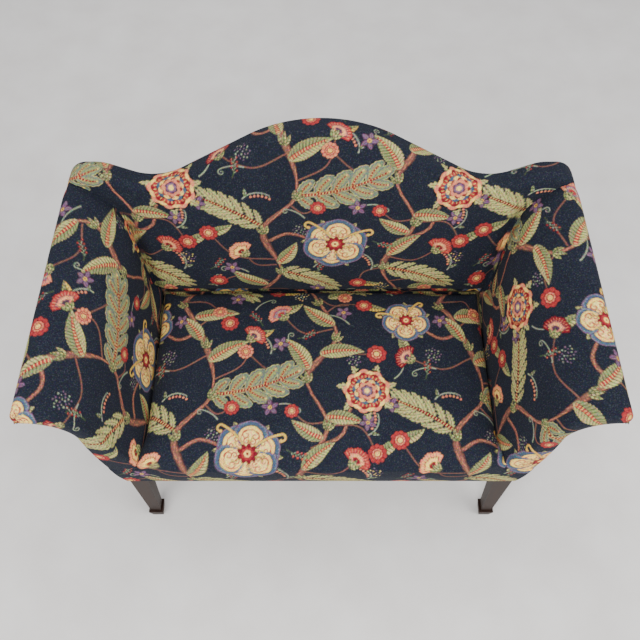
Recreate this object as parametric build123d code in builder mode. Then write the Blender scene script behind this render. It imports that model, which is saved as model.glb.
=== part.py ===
"""Camelback settee: a jointed wooden frame with webbing, pads and tight covers.

Millimetres, +Z up, front towards -Y. The origin is on the floor, midway across the overall
width and depth.
"""

import os
from math import acos, atan, atan2, cos, hypot, pi, radians, sin, sqrt, tan

from build123d import *

os.makedirs("parts", exist_ok=True)

# Seat
SEAT_WIDTH = 880.0
SEAT_DEPTH = 492.0
SEAT_HEIGHT = 451.0
SEAT_CROWN = 16.0
SEAT_ROLL = 26.0
SEAT_SIDE_DROP = 8.0
SEAT_PADDING = 60.0
BAND_LAP = 21.0
HEM_DROP = 2.0

# Upholstery layers and fits
COVER = 2.0
ARM_PADDING = 10.0
BACK_PADDING = 20.0
CREST_PADDING = 8.0
BAND_WADDING = 1.5
WEB_THICK = 2.0
HESSIAN = 1.0
FIT = 0.3

# Seat frame
RAIL_HEIGHT = 66.0
RAIL_THICK = 30.0
SIDE_RAIL_PROUD = 8.0
TENON_LENGTH = 20.0
TENON_THICK = 12.0
TENON_SHOULDER = 9.0
BRACE_WIDTH = 44.0
BRACE_DEPTH = 45.0
BLOCK_LEG = 62.0
BLOCK_HEIGHT = 44.0
BLOCK_DROP = 12.0
SCREW_SHANK = 4.0
SCREW_HEAD = 9.0
SCREW_LENGTH = 34.0
SCREW_SPREAD = 14.0

# Legs
LEG_SQUARE = 46.0
LEG_UNDER_SEAT = -6.0
ANKLE = 29.0
ANKLE_SET_IN = 2.5
SPADE = 41.0
SPADE_TOE = 29.0
SPADE_HEIGHT = 42.0
EASED_EDGE = 1.5
POST_WIDTH = 45.0
BACK_FOOT = 34.0
BACK_FOOT_KICK = 62.0

# Back
BACK_RAKE = 12.0
FRAME_THICK = 36.0
HUMP_RISE = 516.0
DIP_RISE = 358.0
EAR_RISE = 394.0
DIP_INSIDE_SEAT = 28.0
EAR_PEAK_REACH = 106.0
EAR_REACH = 170.0
EAR_CORNER = 33.0
EAR_SIDE = 21.0
HUMP_RADIUS = 355.0
DIP_RADIUS = 148.0
EAR_DIP_RADIUS = 125.0
EAR_RADIUS = 106.0
BACK_ROLL = 14.0
BACK_CROWN = 15.0
BACK_CROWN_MARGIN = 46.0
CREST_DEPTH = 84.0
BACK_LOW_RAIL = 52.0
UPRIGHT_WIDTH = 50.0

# Arms
ARM_REACH_FRONT = 224.0
ARM_REACH_REAR = 177.0
ARM_RISE_FRONT = 287.0
ARM_RISE_REAR = 358.0
ROLL_RADIUS_FRONT = 135.0
ROLL_RADIUS_REAR = 207.0
ROLL_END_FRONT = 0.0
ROLL_END_REAR = 26.0
ARM_LIP = 43.0
ARM_TUCK_GAP = 4.0
ARM_BELLY_FRONT = 9.0
ARM_BELLY_REAR = 1.0
ARM_NOSE = 14.0
ARM_BOARD = 28.0
ARM_RAIL_SHARE = 0.42
LINING_STOP = 0.5
FRAME_EASE = 1.0
ARM_LOW_RAIL_WIDTH = 22.0
ARM_LOW_RAIL_HEIGHT = 40.0
DOWEL = 10.0
DOWEL_LENGTH = 44.0
DOWEL_SPACING = 16.0

# Webbing
WEB_WIDTH = 50.0
SEAT_WEBS_ALONG = 7
SEAT_WEBS_ACROSS = 4
BACK_WEBS_UP = 6
BACK_WEBS_ACROSS = 2

# Worked out from the sizes above
HALF_SEAT = SEAT_WIDTH / 2
RAKE = radians(BACK_RAKE)
RAIL_TOP = SEAT_HEIGHT - SEAT_PADDING
RAIL_BOTTOM = RAIL_TOP - RAIL_HEIGHT
FABRIC_HEM = RAIL_BOTTOM - HEM_DROP
BAND_TOP = RAIL_TOP + BAND_LAP
DECK = RAIL_TOP + 2 * WEB_THICK + HESSIAN
ARM_TUCK = DECK + ARM_TUCK_GAP
ARM_TOP_FRONT = SEAT_HEIGHT + ARM_RISE_FRONT
ARM_TOP_REAR = SEAT_HEIGHT + ARM_RISE_REAR
ARM_TIP_FRONT = HALF_SEAT + ARM_REACH_FRONT
ARM_TIP_REAR = HALF_SEAT + ARM_REACH_REAR
DIP_HALF_SPAN = HALF_SEAT - DIP_INSIDE_SEAT
EAR_PEAK_HALF_SPAN = HALF_SEAT + EAR_PEAK_REACH
EAR_HALF_SPAN = HALF_SEAT + EAR_REACH
BACK_THICK = 2 * COVER + BACK_PADDING + WEB_THICK + FRAME_THICK
WEB_FACE = -(COVER + BACK_PADDING)
FRAME_FRONT = WEB_FACE - WEB_THICK
FRAME_REAR = FRAME_FRONT - FRAME_THICK
# The spade feet reach furthest forward and the top of the hump furthest back.
BACK_REACH = HUMP_RISE * sin(RAKE) + BACK_THICK * cos(RAKE)
SPADE_REACH = (SPADE - ANKLE) / 2 - ANKLE_SET_IN - COVER - BAND_WADDING
FRONT_Y = (max(SPADE_REACH, 0) - SEAT_DEPTH - BACK_REACH) / 2
BACK_Y = FRONT_Y + SEAT_DEPTH
LEG_FRONT = FRONT_Y + COVER + BAND_WADDING
LEG_IN = HALF_SEAT - LEG_UNDER_SEAT
LEG_OUT = LEG_IN + LEG_SQUARE
LEG_REAR = LEG_FRONT + LEG_SQUARE
SIDE_OUT = LEG_OUT + SIDE_RAIL_PROUD
ARM_BASE = SIDE_OUT + COVER + FIT
POST_IN = LEG_OUT - POST_WIDTH
SEAT_REAR = BACK_Y + BACK_PADDING / 2
ARM_REAR_Y = BACK_Y + (ARM_TOP_REAR - SEAT_HEIGHT) * tan(RAKE)
ARM_END_Y = ARM_REAR_Y + 2 * BACK_THICK
ARM_BODY_Y = FRONT_Y + ARM_NOSE
ARM_STATIONS = (ARM_BODY_Y, ARM_END_Y)
BOARD_REAR = ARM_BODY_Y + ARM_BOARD
LIP_RISE = EAR_RISE - EAR_CORNER - EAR_SIDE
BACK_PLANE = Plane(
    origin=(0, BACK_Y, SEAT_HEIGHT),
    x_dir=(1, 0, 0),
    z_dir=(0, -cos(RAKE), sin(RAKE)),
)


def keep(builder, name):
    """Labels a finished piece and writes it."""
    builder.part.label = name
    export_step(builder.part, f"parts/{name}.step")


def keep_pair(builder, name):
    """Writes the piece on the +X side as the right one and its mirror image as the left."""
    with BuildPart() as twin:
        mirror(builder.part, about=Plane.YZ)
    keep(builder, f"{name}_right")
    keep(twin, f"{name}_left")


def back_point(rise, depth):
    """(Y, Z) of a point on the raked back, from its rise along the back and its depth."""
    return (
        BACK_Y + rise * sin(RAKE) - depth * cos(RAKE),
        SEAT_HEIGHT + rise * cos(RAKE) + depth * sin(RAKE),
    )


def back_rise(height, depth):
    """Rise along the back at which a plane of the back reaches a height above the floor."""
    return (height - SEAT_HEIGHT - depth * sin(RAKE)) / cos(RAKE)


def between(front, rear, share):
    return front + (rear - front) * share


def cut_below(height):
    """Takes away all of the part in hand that lies below a height."""
    split(bisect_by=Plane.XY.offset(height), keep=Keep.TOP)


def cut_along(y, kept):
    """Takes away all of the part in hand on one side of a place along Y."""
    split(bisect_by=Plane.XZ.offset(-y), keep=kept)


def cut_behind(depth):
    """Takes away all of the part in hand that lies behind a plane of the raked back."""
    split(bisect_by=BACK_PLANE.offset(depth), keep=Keep.TOP)


# Back outline


def ogee(high, low, high_radius, low_radius):
    """An S of two arcs, level at both ends, with a straight run between them.

    The arcs are made smaller where the ends are too close together for them.
    """
    way = 1 if low[0] > high[0] else -1
    run = abs(low[0] - high[0])
    fall = high[1] - low[1]
    room = (run**2 + fall**2) / (2 * fall)
    ease = min(1, 0.97 * room / (high_radius + low_radius))
    high_radius *= ease
    low_radius *= ease
    both = high_radius + low_radius
    rest = both - fall
    a = run**2 - both**2
    b = 2 * run * rest
    c = rest**2 - both**2
    turn = atan((sqrt(b**2 - 4 * a * c) - b) / (2 * a))

    def on_high(angle):
        return (high[0] + way * high_radius * sin(angle), high[1] - high_radius * (1 - cos(angle)))

    def on_low(angle):
        return (low[0] - way * low_radius * sin(angle), low[1] + low_radius * (1 - cos(angle)))

    ThreePointArc(high, on_high(turn / 2), on_high(turn))
    Line(on_high(turn), on_low(turn))
    ThreePointArc(on_low(turn), on_low(turn / 2), low)


def crest_line(inset):
    """The right half of the crest, from the hump's middle to the outer side of the ear."""
    hump = (0, HUMP_RISE - inset)
    dip = (DIP_HALF_SPAN, DIP_RISE - inset)
    ear = (EAR_PEAK_HALF_SPAN, EAR_RISE - inset)
    side = EAR_HALF_SPAN - inset
    corner = EAR_CORNER - inset / 2
    ogee(hump, dip, HUMP_RADIUS - inset, DIP_RADIUS + inset)
    ogee(ear, dip, EAR_RADIUS - inset, EAR_DIP_RADIUS + inset)
    Line(ear, (side - corner, ear[1]))
    ThreePointArc(
        (side - corner, ear[1]),
        (side - corner * (1 - sin(pi / 4)), ear[1] - corner * (1 - cos(pi / 4))),
        (side, ear[1] - corner),
    )
    return (side, ear[1] - corner)


def crest_face(depth, inset, foot):
    """The crest at a depth, as a face, closed off across the arms at a rise of foot."""
    with BuildSketch(BACK_PLANE.offset(depth)) as outline:
        with BuildLine():
            side = crest_line(inset)
            Polyline(side, (side[0] - ARM_LIP, foot), (0, foot))
            mirror(about=Plane.YZ)
        make_face()
    return outline.sketch


def back_face(depth, inset, foot, behind_arms=False):
    """The outline of the back at a depth, down to a rise of foot, as a face.

    Below the ears its sides run within the thickness of the arms, or behind the arms along
    their outer sides.
    """
    arm = ArmSection(1, inset, inset)
    radius = arm.outer if behind_arms else arm.outer + arm.nose
    belly_x, belly_z = arm.on_roll(radius, (arm.end + pi) / 2)
    waist_x, waist_z = arm.on_roll(radius, pi)
    hip_x = SIDE_OUT + COVER - inset if behind_arms else waist_x
    with BuildSketch(BACK_PLANE.offset(depth)) as outline:
        with BuildLine():
            side = crest_line(inset)
            lip = (side[0], LIP_RISE)
            waist = (waist_x, back_rise(waist_z, 0))
            Line(side, lip)
            ThreePointArc(lip, (belly_x, back_rise(belly_z, 0)), waist)
            Polyline(waist, (hip_x, foot), (0, foot))
            mirror(about=Plane.YZ)
        make_face()
    return outline.sketch


# Arm profile


class ArmSection:
    """The arm's section across X and Z at a share of the way from its front to its rear.

    The inside rises from the seat, rolls outward round a centre and ends in a rounded lip;
    the outside comes back under the lip and down to the hem.
    """

    def __init__(self, share, inset, outer_inset):
        self.turn = radians(between(ROLL_END_FRONT, ROLL_END_REAR, share))
        radius = between(ROLL_RADIUS_FRONT, ROLL_RADIUS_REAR, share)
        middle = radius - ARM_LIP / 2
        self.centre = (
            between(ARM_TIP_FRONT, ARM_TIP_REAR, share) - ARM_LIP / 2 + middle * sin(self.turn),
            between(ARM_TOP_FRONT, ARM_TOP_REAR, share) - ARM_LIP / 2 - middle * cos(self.turn),
        )
        self.inner = radius - inset
        self.outer = radius - ARM_LIP + outer_inset
        self.nose = (self.inner - self.outer) / 2
        self.end = pi / 2 + self.turn
        self.foot = (HALF_SEAT + inset, ARM_TUCK)
        self.hem = (ARM_BASE - outer_inset, FABRIC_HEM)
        run = (self.foot[0] - self.centre[0], self.foot[1] - self.centre[1])
        self.start = atan2(run[1], run[0]) % (2 * pi) - acos(self.inner / hypot(*run))
        self.rise = self.on_roll(self.inner, self.start)
        self.crown = self.on_roll(self.inner, self.end)
        self.lip = self.on_roll(self.outer, self.end)
        self.waist = self.on_roll(self.outer, pi)
        self.tip = self.on_nose(0)
        self.belly = (
            (self.hem[0] + self.waist[0]) / 2 + between(ARM_BELLY_FRONT, ARM_BELLY_REAR, share),
            (self.hem[1] + self.waist[1]) / 2,
        )

    def on_roll(self, radius, angle):
        return (self.centre[0] + radius * cos(angle), self.centre[1] + radius * sin(angle))

    def on_nose(self, angle):
        middle = self.on_roll(self.outer + self.nose, self.end)
        return (
            middle[0] + self.nose * cos(self.turn + angle),
            middle[1] + self.nose * sin(self.turn + angle),
        )

    def inside(self):
        Line(self.foot, self.rise)
        ThreePointArc(self.rise, self.on_roll(self.inner, (self.start + self.end) / 2), self.crown)
        ThreePointArc(self.crown, self.on_nose(pi / 4), self.tip)

    def under_nose(self):
        ThreePointArc(self.tip, self.on_nose(-pi / 4), self.lip)

    def outside(self):
        ThreePointArc(self.lip, self.on_roll(self.outer, (self.end + pi) / 2), self.waist)
        ThreePointArc(self.waist, self.belly, self.hem)


def arm_share(y):
    return (y - FRONT_Y) / (ARM_REAR_Y - FRONT_Y)


def arm_whole(y, inset, outer_inset):
    """The arm's full section at a place along Y, closed below by the seat frame's space."""
    section = ArmSection(arm_share(y), inset, outer_inset)
    corner = (section.foot[0], section.hem[1])
    with BuildSketch(Plane.XZ.offset(-y)) as whole:
        with BuildLine():
            section.inside()
            section.under_nose()
            section.outside()
            Line(section.hem, corner)
            Line(corner, section.foot)
        make_face()
    return whole.sketch


def arm_cover_ring(y):
    """The inside cover's section, from the seat up over the lip."""
    face = ArmSection(arm_share(y), 0, 0)
    back = ArmSection(arm_share(y), COVER, COVER)
    with BuildSketch(Plane.XZ.offset(-y)) as ring:
        with BuildLine():
            face.inside()
            face.under_nose()
            Line(face.lip, back.lip)
            back.under_nose()
            back.inside()
            Line(back.foot, face.foot)
        make_face()
    return ring.sketch


def arm_pad_ring(y, near, far):
    """A layer of the arm's inside, from one depth to another, feathered out at the tip."""
    face = ArmSection(arm_share(y), near, COVER + FIT)
    back = ArmSection(arm_share(y), far, COVER + FIT)
    with BuildSketch(Plane.XZ.offset(-y)) as ring:
        with BuildLine():
            face.inside()
            Line(face.tip, back.tip)
            back.inside()
            Line(back.foot, face.foot)
        make_face()
    return ring.sketch


def arm_lining_ring(y, near, far):
    """The lining's section, from the seat up to the edge of the curved top rail."""
    face = ArmSection(arm_share(y), near, COVER + FIT)
    back = ArmSection(arm_share(y), far, COVER + FIT)
    stop = between(face.end, pi, ARM_RAIL_SHARE) + radians(LINING_STOP)
    with BuildSketch(Plane.XZ.offset(-y)) as ring:
        with BuildLine():
            for layer in (face, back):
                Line(layer.foot, layer.rise)
                ThreePointArc(
                    layer.rise,
                    layer.on_roll(layer.inner, (layer.start + stop) / 2),
                    layer.on_roll(layer.inner, stop),
                )
            Line(face.on_roll(face.inner, stop), back.on_roll(back.inner, stop))
            Line(back.foot, face.foot)
        make_face()
    return ring.sketch


def arm_outer_ring(y):
    """The outside cover's section, from under the lip down to the hem."""
    face = ArmSection(arm_share(y), 0, 0)
    back = ArmSection(arm_share(y), COVER, COVER)
    with BuildSketch(Plane.XZ.offset(-y)) as ring:
        with BuildLine():
            face.outside()
            Line(face.hem, back.hem)
            back.outside()
            Line(back.lip, face.lip)
        make_face()
    return ring.sketch


def arm_rail_section(y, inset, outer_inset):
    """The curved top rail's section: the outer part of the roll with its nose."""
    section = ArmSection(arm_share(y), inset, outer_inset)
    begin = between(section.end, pi, ARM_RAIL_SHARE)
    halfway = (begin + section.end) / 2
    with BuildSketch(Plane.XZ.offset(-y)) as rail:
        with BuildLine():
            Line(section.on_roll(section.outer, begin), section.on_roll(section.inner, begin))
            ThreePointArc(
                section.on_roll(section.inner, begin),
                section.on_roll(section.inner, halfway),
                section.crown,
            )
            ThreePointArc(section.crown, section.on_nose(pi / 4), section.tip)
            section.under_nose()
            ThreePointArc(
                section.lip,
                section.on_roll(section.outer, halfway),
                section.on_roll(section.outer, begin),
            )
        make_face()
    return rail.sketch


def arm_nose_steps(cover):
    """(Y, inset) of the sections that round the arm's front edge, behind a layer of cover."""
    return [
        (FRONT_Y + cover, ARM_NOSE),
        (FRONT_Y + cover + 0.08 * ARM_NOSE, 0.6 * ARM_NOSE),
        (FRONT_Y + cover + 0.3 * ARM_NOSE, 0.28 * ARM_NOSE),
        (FRONT_Y + cover + 0.6 * ARM_NOSE, 0.08 * ARM_NOSE),
        (ARM_BODY_Y, 0),
    ]


def arm_nose(cover):
    """A solid of the arm's rounded front edge, smaller all round by a layer of cover."""
    steps = arm_nose_steps(cover)
    loft([arm_whole(y, inset + cover, inset + cover) for y, inset in steps], ruled=True)


# Legs

ankle_x = LEG_OUT - ANKLE_SET_IN - ANKLE / 2
ankle_y = LEG_FRONT + ANKLE_SET_IN + ANKLE / 2
front_rail_y = LEG_FRONT + RAIL_THICK / 2
side_rail_x = SIDE_OUT - RAIL_THICK / 2
side_tenon_x = LEG_OUT - RAIL_THICK / 2
rail_z = RAIL_BOTTOM + RAIL_HEIGHT / 2
tenon_height = RAIL_HEIGHT - 2 * TENON_SHOULDER
back_rail_depth = FRAME_FRONT - (FRAME_THICK - RAIL_THICK) / 2
back_rail_low = back_rise(RAIL_BOTTOM, back_rail_depth - RAIL_THICK)
back_rail_high = back_rise(RAIL_TOP, back_rail_depth)
post_top = DIP_RISE - CREST_DEPTH - CREST_PADDING


def dowel_places():
    """Where the dowels stand that locate the right arm's front board on the leg."""
    middle = (LEG_IN + TENON_LENGTH + LEG_OUT) / 2
    y = LEG_REAR - TENON_LENGTH - DOWEL / 2 - 2 * FIT
    return [(middle + DOWEL_SPACING * way / 2, y) for way in (-1, 1)]


with BuildPart() as front_leg:
    with BuildSketch(Plane.XY.offset(RAIL_BOTTOM)):
        with Locations((LEG_OUT - LEG_SQUARE / 2, LEG_FRONT + LEG_SQUARE / 2)):
            Rectangle(LEG_SQUARE, LEG_SQUARE)
    extrude(amount=RAIL_HEIGHT)
    with BuildSketch(Plane.XY.offset(RAIL_BOTTOM)):
        with Locations((LEG_OUT - LEG_SQUARE / 2, LEG_FRONT + LEG_SQUARE / 2)):
            Rectangle(LEG_SQUARE, LEG_SQUARE)
    with BuildSketch(Plane.XY.offset(SPADE_HEIGHT)):
        with Locations((ankle_x, ankle_y)):
            Rectangle(ANKLE, ANKLE)
    loft()
    with BuildSketch(Plane.XY.offset(SPADE_HEIGHT)):
        with Locations((ankle_x, ankle_y)):
            Rectangle(SPADE, SPADE)
    with BuildSketch(Plane.XY):
        with Locations((ankle_x, ankle_y)):
            Rectangle(SPADE_TOE, SPADE_TOE)
    loft()
    spade_rim = front_leg.edges().filter_by_position(Axis.Z, SPADE_HEIGHT, SPADE_HEIGHT)
    chamfer(spade_rim.sort_by(Edge.length)[-4:], EASED_EDGE)
    with Locations((LEG_IN, front_rail_y, rail_z)):
        Box(
            2 * (TENON_LENGTH + FIT),
            TENON_THICK + 2 * FIT,
            tenon_height + 2 * FIT,
            mode=Mode.SUBTRACT,
        )
    with Locations((side_tenon_x, LEG_REAR, rail_z)):
        Box(
            TENON_THICK + 2 * FIT,
            2 * (TENON_LENGTH + FIT),
            tenon_height + 2 * FIT,
            mode=Mode.SUBTRACT,
        )
    with BuildSketch(Plane.XY.offset(RAIL_TOP)):
        with Locations(*dowel_places()):
            Circle(DOWEL / 2 + FIT)
    extrude(amount=-(DOWEL_LENGTH / 2 + FIT), mode=Mode.SUBTRACT)
keep_pair(front_leg, "front_leg")

with BuildPart() as back_leg:
    knee_front = back_point(back_rise(RAIL_BOTTOM, FRAME_FRONT), FRAME_FRONT)
    knee_rear = back_point(back_rise(RAIL_BOTTOM, FRAME_REAR), FRAME_REAR)
    heel = knee_rear[0] + BACK_FOOT_KICK
    with BuildSketch(Plane.YZ.offset(POST_IN)):
        with BuildLine():
            Polyline(
                (heel - BACK_FOOT, 0),
                (heel, 0),
                knee_rear,
                back_point(post_top, FRAME_REAR),
                back_point(post_top, FRAME_FRONT),
                knee_front,
                close=True,
            )
        make_face()
    extrude(amount=POST_WIDTH)
    with BuildSketch(BACK_PLANE.offset(FRAME_FRONT - FRAME_THICK / 2 - TENON_THICK / 2)):
        with Locations((POST_IN + POST_WIDTH / 2, post_top + TENON_LENGTH / 2)):
            Rectangle(POST_WIDTH - 2 * TENON_SHOULDER, TENON_LENGTH)
    extrude(amount=TENON_THICK)
    with BuildSketch(BACK_PLANE.offset(back_rail_depth - RAIL_THICK / 2 - TENON_THICK / 2 - FIT)):
        with Locations((POST_IN, (back_rail_low + back_rail_high) / 2)):
            Rectangle(2 * (TENON_LENGTH + FIT), back_rail_high - back_rail_low - 2 * TENON_SHOULDER + 2 * FIT)
    extrude(amount=TENON_THICK + 2 * FIT, mode=Mode.SUBTRACT)
keep_pair(back_leg, "back_leg")

# Seat frame

with BuildPart() as front_seat_rail:
    with Locations((0, front_rail_y, rail_z)):
        Box(2 * LEG_IN, RAIL_THICK, RAIL_HEIGHT)
        Box(2 * (LEG_IN + TENON_LENGTH), TENON_THICK, tenon_height)
keep(front_seat_rail, "front_seat_rail")

with BuildPart() as back_seat_rail:
    rail_middle = (back_rail_low + back_rail_high) / 2
    with BuildSketch(BACK_PLANE.offset(back_rail_depth)):
        with Locations((0, rail_middle)):
            Rectangle(2 * POST_IN, back_rail_high - back_rail_low)
    extrude(amount=-RAIL_THICK)
    with BuildSketch(BACK_PLANE.offset(back_rail_depth - RAIL_THICK / 2 - TENON_THICK / 2)):
        with Locations((0, rail_middle)):
            Rectangle(
                2 * (POST_IN + TENON_LENGTH),
                back_rail_high - back_rail_low - 2 * TENON_SHOULDER,
            )
    extrude(amount=TENON_THICK)
keep(back_seat_rail, "back_seat_rail")

with BuildPart() as side_seat_rail:
    with BuildSketch(Plane.XZ.offset(-LEG_REAR)):
        with Locations((side_rail_x, rail_z)):
            Rectangle(RAIL_THICK, RAIL_HEIGHT)
    extrude(amount=-(BACK_Y + BACK_THICK - LEG_REAR))
    cut_behind(FRAME_FRONT)
    with BuildSketch(Plane.XZ.offset(-LEG_REAR)):
        with Locations((side_tenon_x, rail_z)):
            Rectangle(TENON_THICK, tenon_height)
    extrude(amount=TENON_LENGTH)
keep_pair(side_seat_rail, "side_seat_rail")

rail_inner_front = LEG_FRONT + RAIL_THICK
rail_inner_side = SIDE_OUT - RAIL_THICK
brace_z = RAIL_TOP - BRACE_DEPTH

with BuildPart() as seat_brace:
    with BuildSketch(Plane.XZ.offset(-rail_inner_front)):
        with Locations((0, (brace_z + RAIL_BOTTOM) / 2)):
            Rectangle(BRACE_WIDTH, brace_z - RAIL_BOTTOM)
    extrude(amount=-(BACK_Y + BACK_THICK - rail_inner_front))
    cut_behind(back_rail_depth)
keep(seat_brace, "seat_brace")

block_z = RAIL_TOP - BLOCK_DROP - BLOCK_HEIGHT
post_face_y = back_point(back_rise(block_z, FRAME_FRONT), FRAME_FRONT)[0]


def corner_block(corner, way):
    """A three-cornered block with its square corner in the frame, as wide along X as along Y."""
    with BuildSketch(Plane.XY.offset(block_z)) as triangle:
        with BuildLine():
            Polyline(
                corner,
                (corner[0] - BLOCK_LEG, corner[1]),
                (corner[0], corner[1] + way * BLOCK_LEG),
                close=True,
            )
        make_face()
    extrude(triangle.sketch, amount=BLOCK_HEIGHT, dir=(0, 0, 1))


block_corners = {
    "front": ((LEG_IN, rail_inner_front), 1),
    "back": ((rail_inner_side, post_face_y), -1),
}


def corner_screws(corner, way):
    """Two screws through a corner block's long side, towards the frame's corner."""
    middle = Vector(corner[0] - BLOCK_LEG / 2, corner[1] + way * BLOCK_LEG / 2)
    inward = Vector(1, -way, 0).normalized()
    for step in (-1, 1):
        start = middle + inward.rotate(Axis.Z, 90) * SCREW_SPREAD * step
        place = Plane(
            origin=(start.X, start.Y, block_z + BLOCK_HEIGHT / 2),
            z_dir=inward,
        )
        yield place


for place_name, (corner, way) in block_corners.items():
    with BuildPart() as block:
        corner_block(corner, way)
        for place in corner_screws(corner, way):
            with BuildSketch(place):
                Circle(SCREW_SHANK / 2 + FIT)
            extrude(amount=BLOCK_LEG, mode=Mode.SUBTRACT)
            with BuildSketch(place):
                Circle(SCREW_HEAD / 2 + FIT)
            extrude(amount=SCREW_SHANK, mode=Mode.SUBTRACT)
    keep_pair(block, f"corner_block_{place_name}")

with BuildPart() as block_screws:
    for corner, way in block_corners.values():
        for place in corner_screws(corner, way):
            with BuildSketch(place):
                Circle(SCREW_HEAD / 2)
            extrude(amount=SCREW_SHANK)
            with BuildSketch(place):
                Circle(SCREW_SHANK / 2)
            extrude(amount=SCREW_LENGTH - SCREW_SPREAD)
    mirror(about=Plane.YZ)
keep(block_screws, "corner_block_screws")

# Back frame

with BuildPart() as crest_rail:
    frame_inset = COVER + CREST_PADDING
    foot = (POST_IN - POST_WIDTH, post_top)
    with BuildSketch(BACK_PLANE.offset(FRAME_REAR)):
        with BuildLine():
            side = crest_line(frame_inset)
            Polyline(side, (side[0], LIP_RISE), (LEG_OUT, post_top), foot)
            ogee((0, HUMP_RISE - CREST_DEPTH - frame_inset), foot, HUMP_RADIUS, DIP_RADIUS)
            mirror(about=Plane.YZ)
        make_face()
    extrude(amount=FRAME_THICK)
    for way in (-1, 1):
        with BuildSketch(BACK_PLANE.offset(FRAME_FRONT - FRAME_THICK / 2 - TENON_THICK / 2 - FIT)):
            with Locations((way * (POST_IN + POST_WIDTH / 2), post_top)):
                Rectangle(POST_WIDTH - 2 * TENON_SHOULDER + 2 * FIT, 2 * (TENON_LENGTH + FIT))
        extrude(amount=TENON_THICK + 2 * FIT, mode=Mode.SUBTRACT)
keep(crest_rail, "crest_rail")

low_rail_rise = BACK_LOW_RAIL / 2
low_rail_bottom = low_rail_rise - BACK_LOW_RAIL / 2

with BuildPart() as back_low_rail:
    with BuildSketch(BACK_PLANE.offset(FRAME_FRONT)):
        with Locations((0, low_rail_rise)):
            Rectangle(2 * POST_IN, BACK_LOW_RAIL)
    extrude(amount=-FRAME_THICK)
keep(back_low_rail, "back_low_rail")

with BuildPart() as back_upright:
    upright_top = HUMP_RISE - CREST_DEPTH - COVER - CREST_PADDING
    with BuildSketch(BACK_PLANE.offset(FRAME_FRONT)):
        with Locations((0, (BACK_LOW_RAIL + upright_top) / 2)):
            Rectangle(UPRIGHT_WIDTH, upright_top - BACK_LOW_RAIL)
    extrude(amount=-FRAME_THICK)
    add(crest_rail.part, mode=Mode.SUBTRACT)
keep(back_upright, "back_upright")

# Arm frame

board_inset = COVER + ARM_PADDING + 2 * FIT
board_outer = COVER + 2 * FIT

with BuildPart() as arm_board:
    loft([arm_whole(y, board_inset, board_outer) for y in ARM_STATIONS])
    cut_along(BOARD_REAR, Keep.TOP)
    cut_below(RAIL_TOP)
    with BuildSketch(Plane.XY.offset(RAIL_TOP)):
        with Locations(*dowel_places()):
            Circle(DOWEL / 2 + FIT)
    extrude(amount=DOWEL_LENGTH / 2 + FIT, mode=Mode.SUBTRACT)
keep_pair(arm_board, "arm_front_board")

with BuildPart() as arm_dowels:
    with BuildSketch(Plane.XY.offset(RAIL_TOP - DOWEL_LENGTH / 2)):
        with Locations(*dowel_places()):
            Circle(DOWEL / 2)
    extrude(amount=DOWEL_LENGTH)
    mirror(about=Plane.YZ)
keep(arm_dowels, "arm_dowels")

with BuildPart() as arm_top_rail:
    rail_layers = (board_inset + FRAME_EASE, board_outer + FRAME_EASE)
    loft([arm_rail_section(y, *rail_layers) for y in ARM_STATIONS])
    cut_along(BOARD_REAR, Keep.BOTTOM)
    cut_behind(FRAME_FRONT)
keep_pair(arm_top_rail, "arm_top_rail")

lining_layers = (board_inset + FRAME_EASE, board_inset + FRAME_EASE + HESSIAN)

with BuildPart() as arm_low_rail:
    behind_lining = ArmSection(0, lining_layers[1] + FRAME_EASE, 0)
    lean = (behind_lining.rise[0] - behind_lining.foot[0]) / (behind_lining.rise[1] - ARM_TUCK)
    low_rail_x = behind_lining.foot[0] + lean * ARM_LOW_RAIL_HEIGHT + ARM_LOW_RAIL_WIDTH / 2
    with BuildSketch(Plane.XZ.offset(-BOARD_REAR)):
        with Locations((low_rail_x, ARM_TUCK + ARM_LOW_RAIL_HEIGHT / 2)):
            Rectangle(ARM_LOW_RAIL_WIDTH, ARM_LOW_RAIL_HEIGHT)
    extrude(amount=-(BACK_Y + BACK_THICK - BOARD_REAR))
    cut_behind(FRAME_FRONT)
keep_pair(arm_low_rail, "arm_low_rail")

# Webbing and linings

web_front = LEG_FRONT + RAIL_THICK / 4
web_rear = back_point(back_rail_high, back_rail_depth - RAIL_THICK / 2)[0]
web_side = SIDE_OUT - RAIL_THICK / 2

with BuildPart() as seat_webbing:
    with BuildSketch(Plane.XY.offset(RAIL_TOP)):
        with Locations((0, (web_front + web_rear) / 2)):
            with GridLocations(SEAT_WIDTH / SEAT_WEBS_ALONG, 1, SEAT_WEBS_ALONG, 1):
                Rectangle(WEB_WIDTH, web_rear - web_front)
    extrude(amount=WEB_THICK)
    with BuildSketch(Plane.XY.offset(RAIL_TOP + WEB_THICK)):
        with Locations((0, (BOARD_REAR + BACK_Y) / 2)):
            with GridLocations(1, (BACK_Y - BOARD_REAR) / SEAT_WEBS_ACROSS, 1, SEAT_WEBS_ACROSS):
                Rectangle(2 * web_side, WEB_WIDTH)
    extrude(amount=WEB_THICK)
keep(seat_webbing, "seat_webbing")

with BuildPart() as seat_hessian:
    with BuildSketch(Plane.XY.offset(DECK - HESSIAN)):
        with Locations((0, (web_front + web_rear) / 2)):
            Rectangle(SEAT_WIDTH - 2 * COVER, web_rear - web_front)
    extrude(amount=HESSIAN)
keep(seat_hessian, "seat_hessian")

web_rail_lap = BACK_LOW_RAIL / 2
web_up_span = DIP_RISE - COVER - CREST_PADDING - CREST_DEPTH / 2 - web_rail_lap
back_web_half = POST_IN + POST_WIDTH / 2

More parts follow.
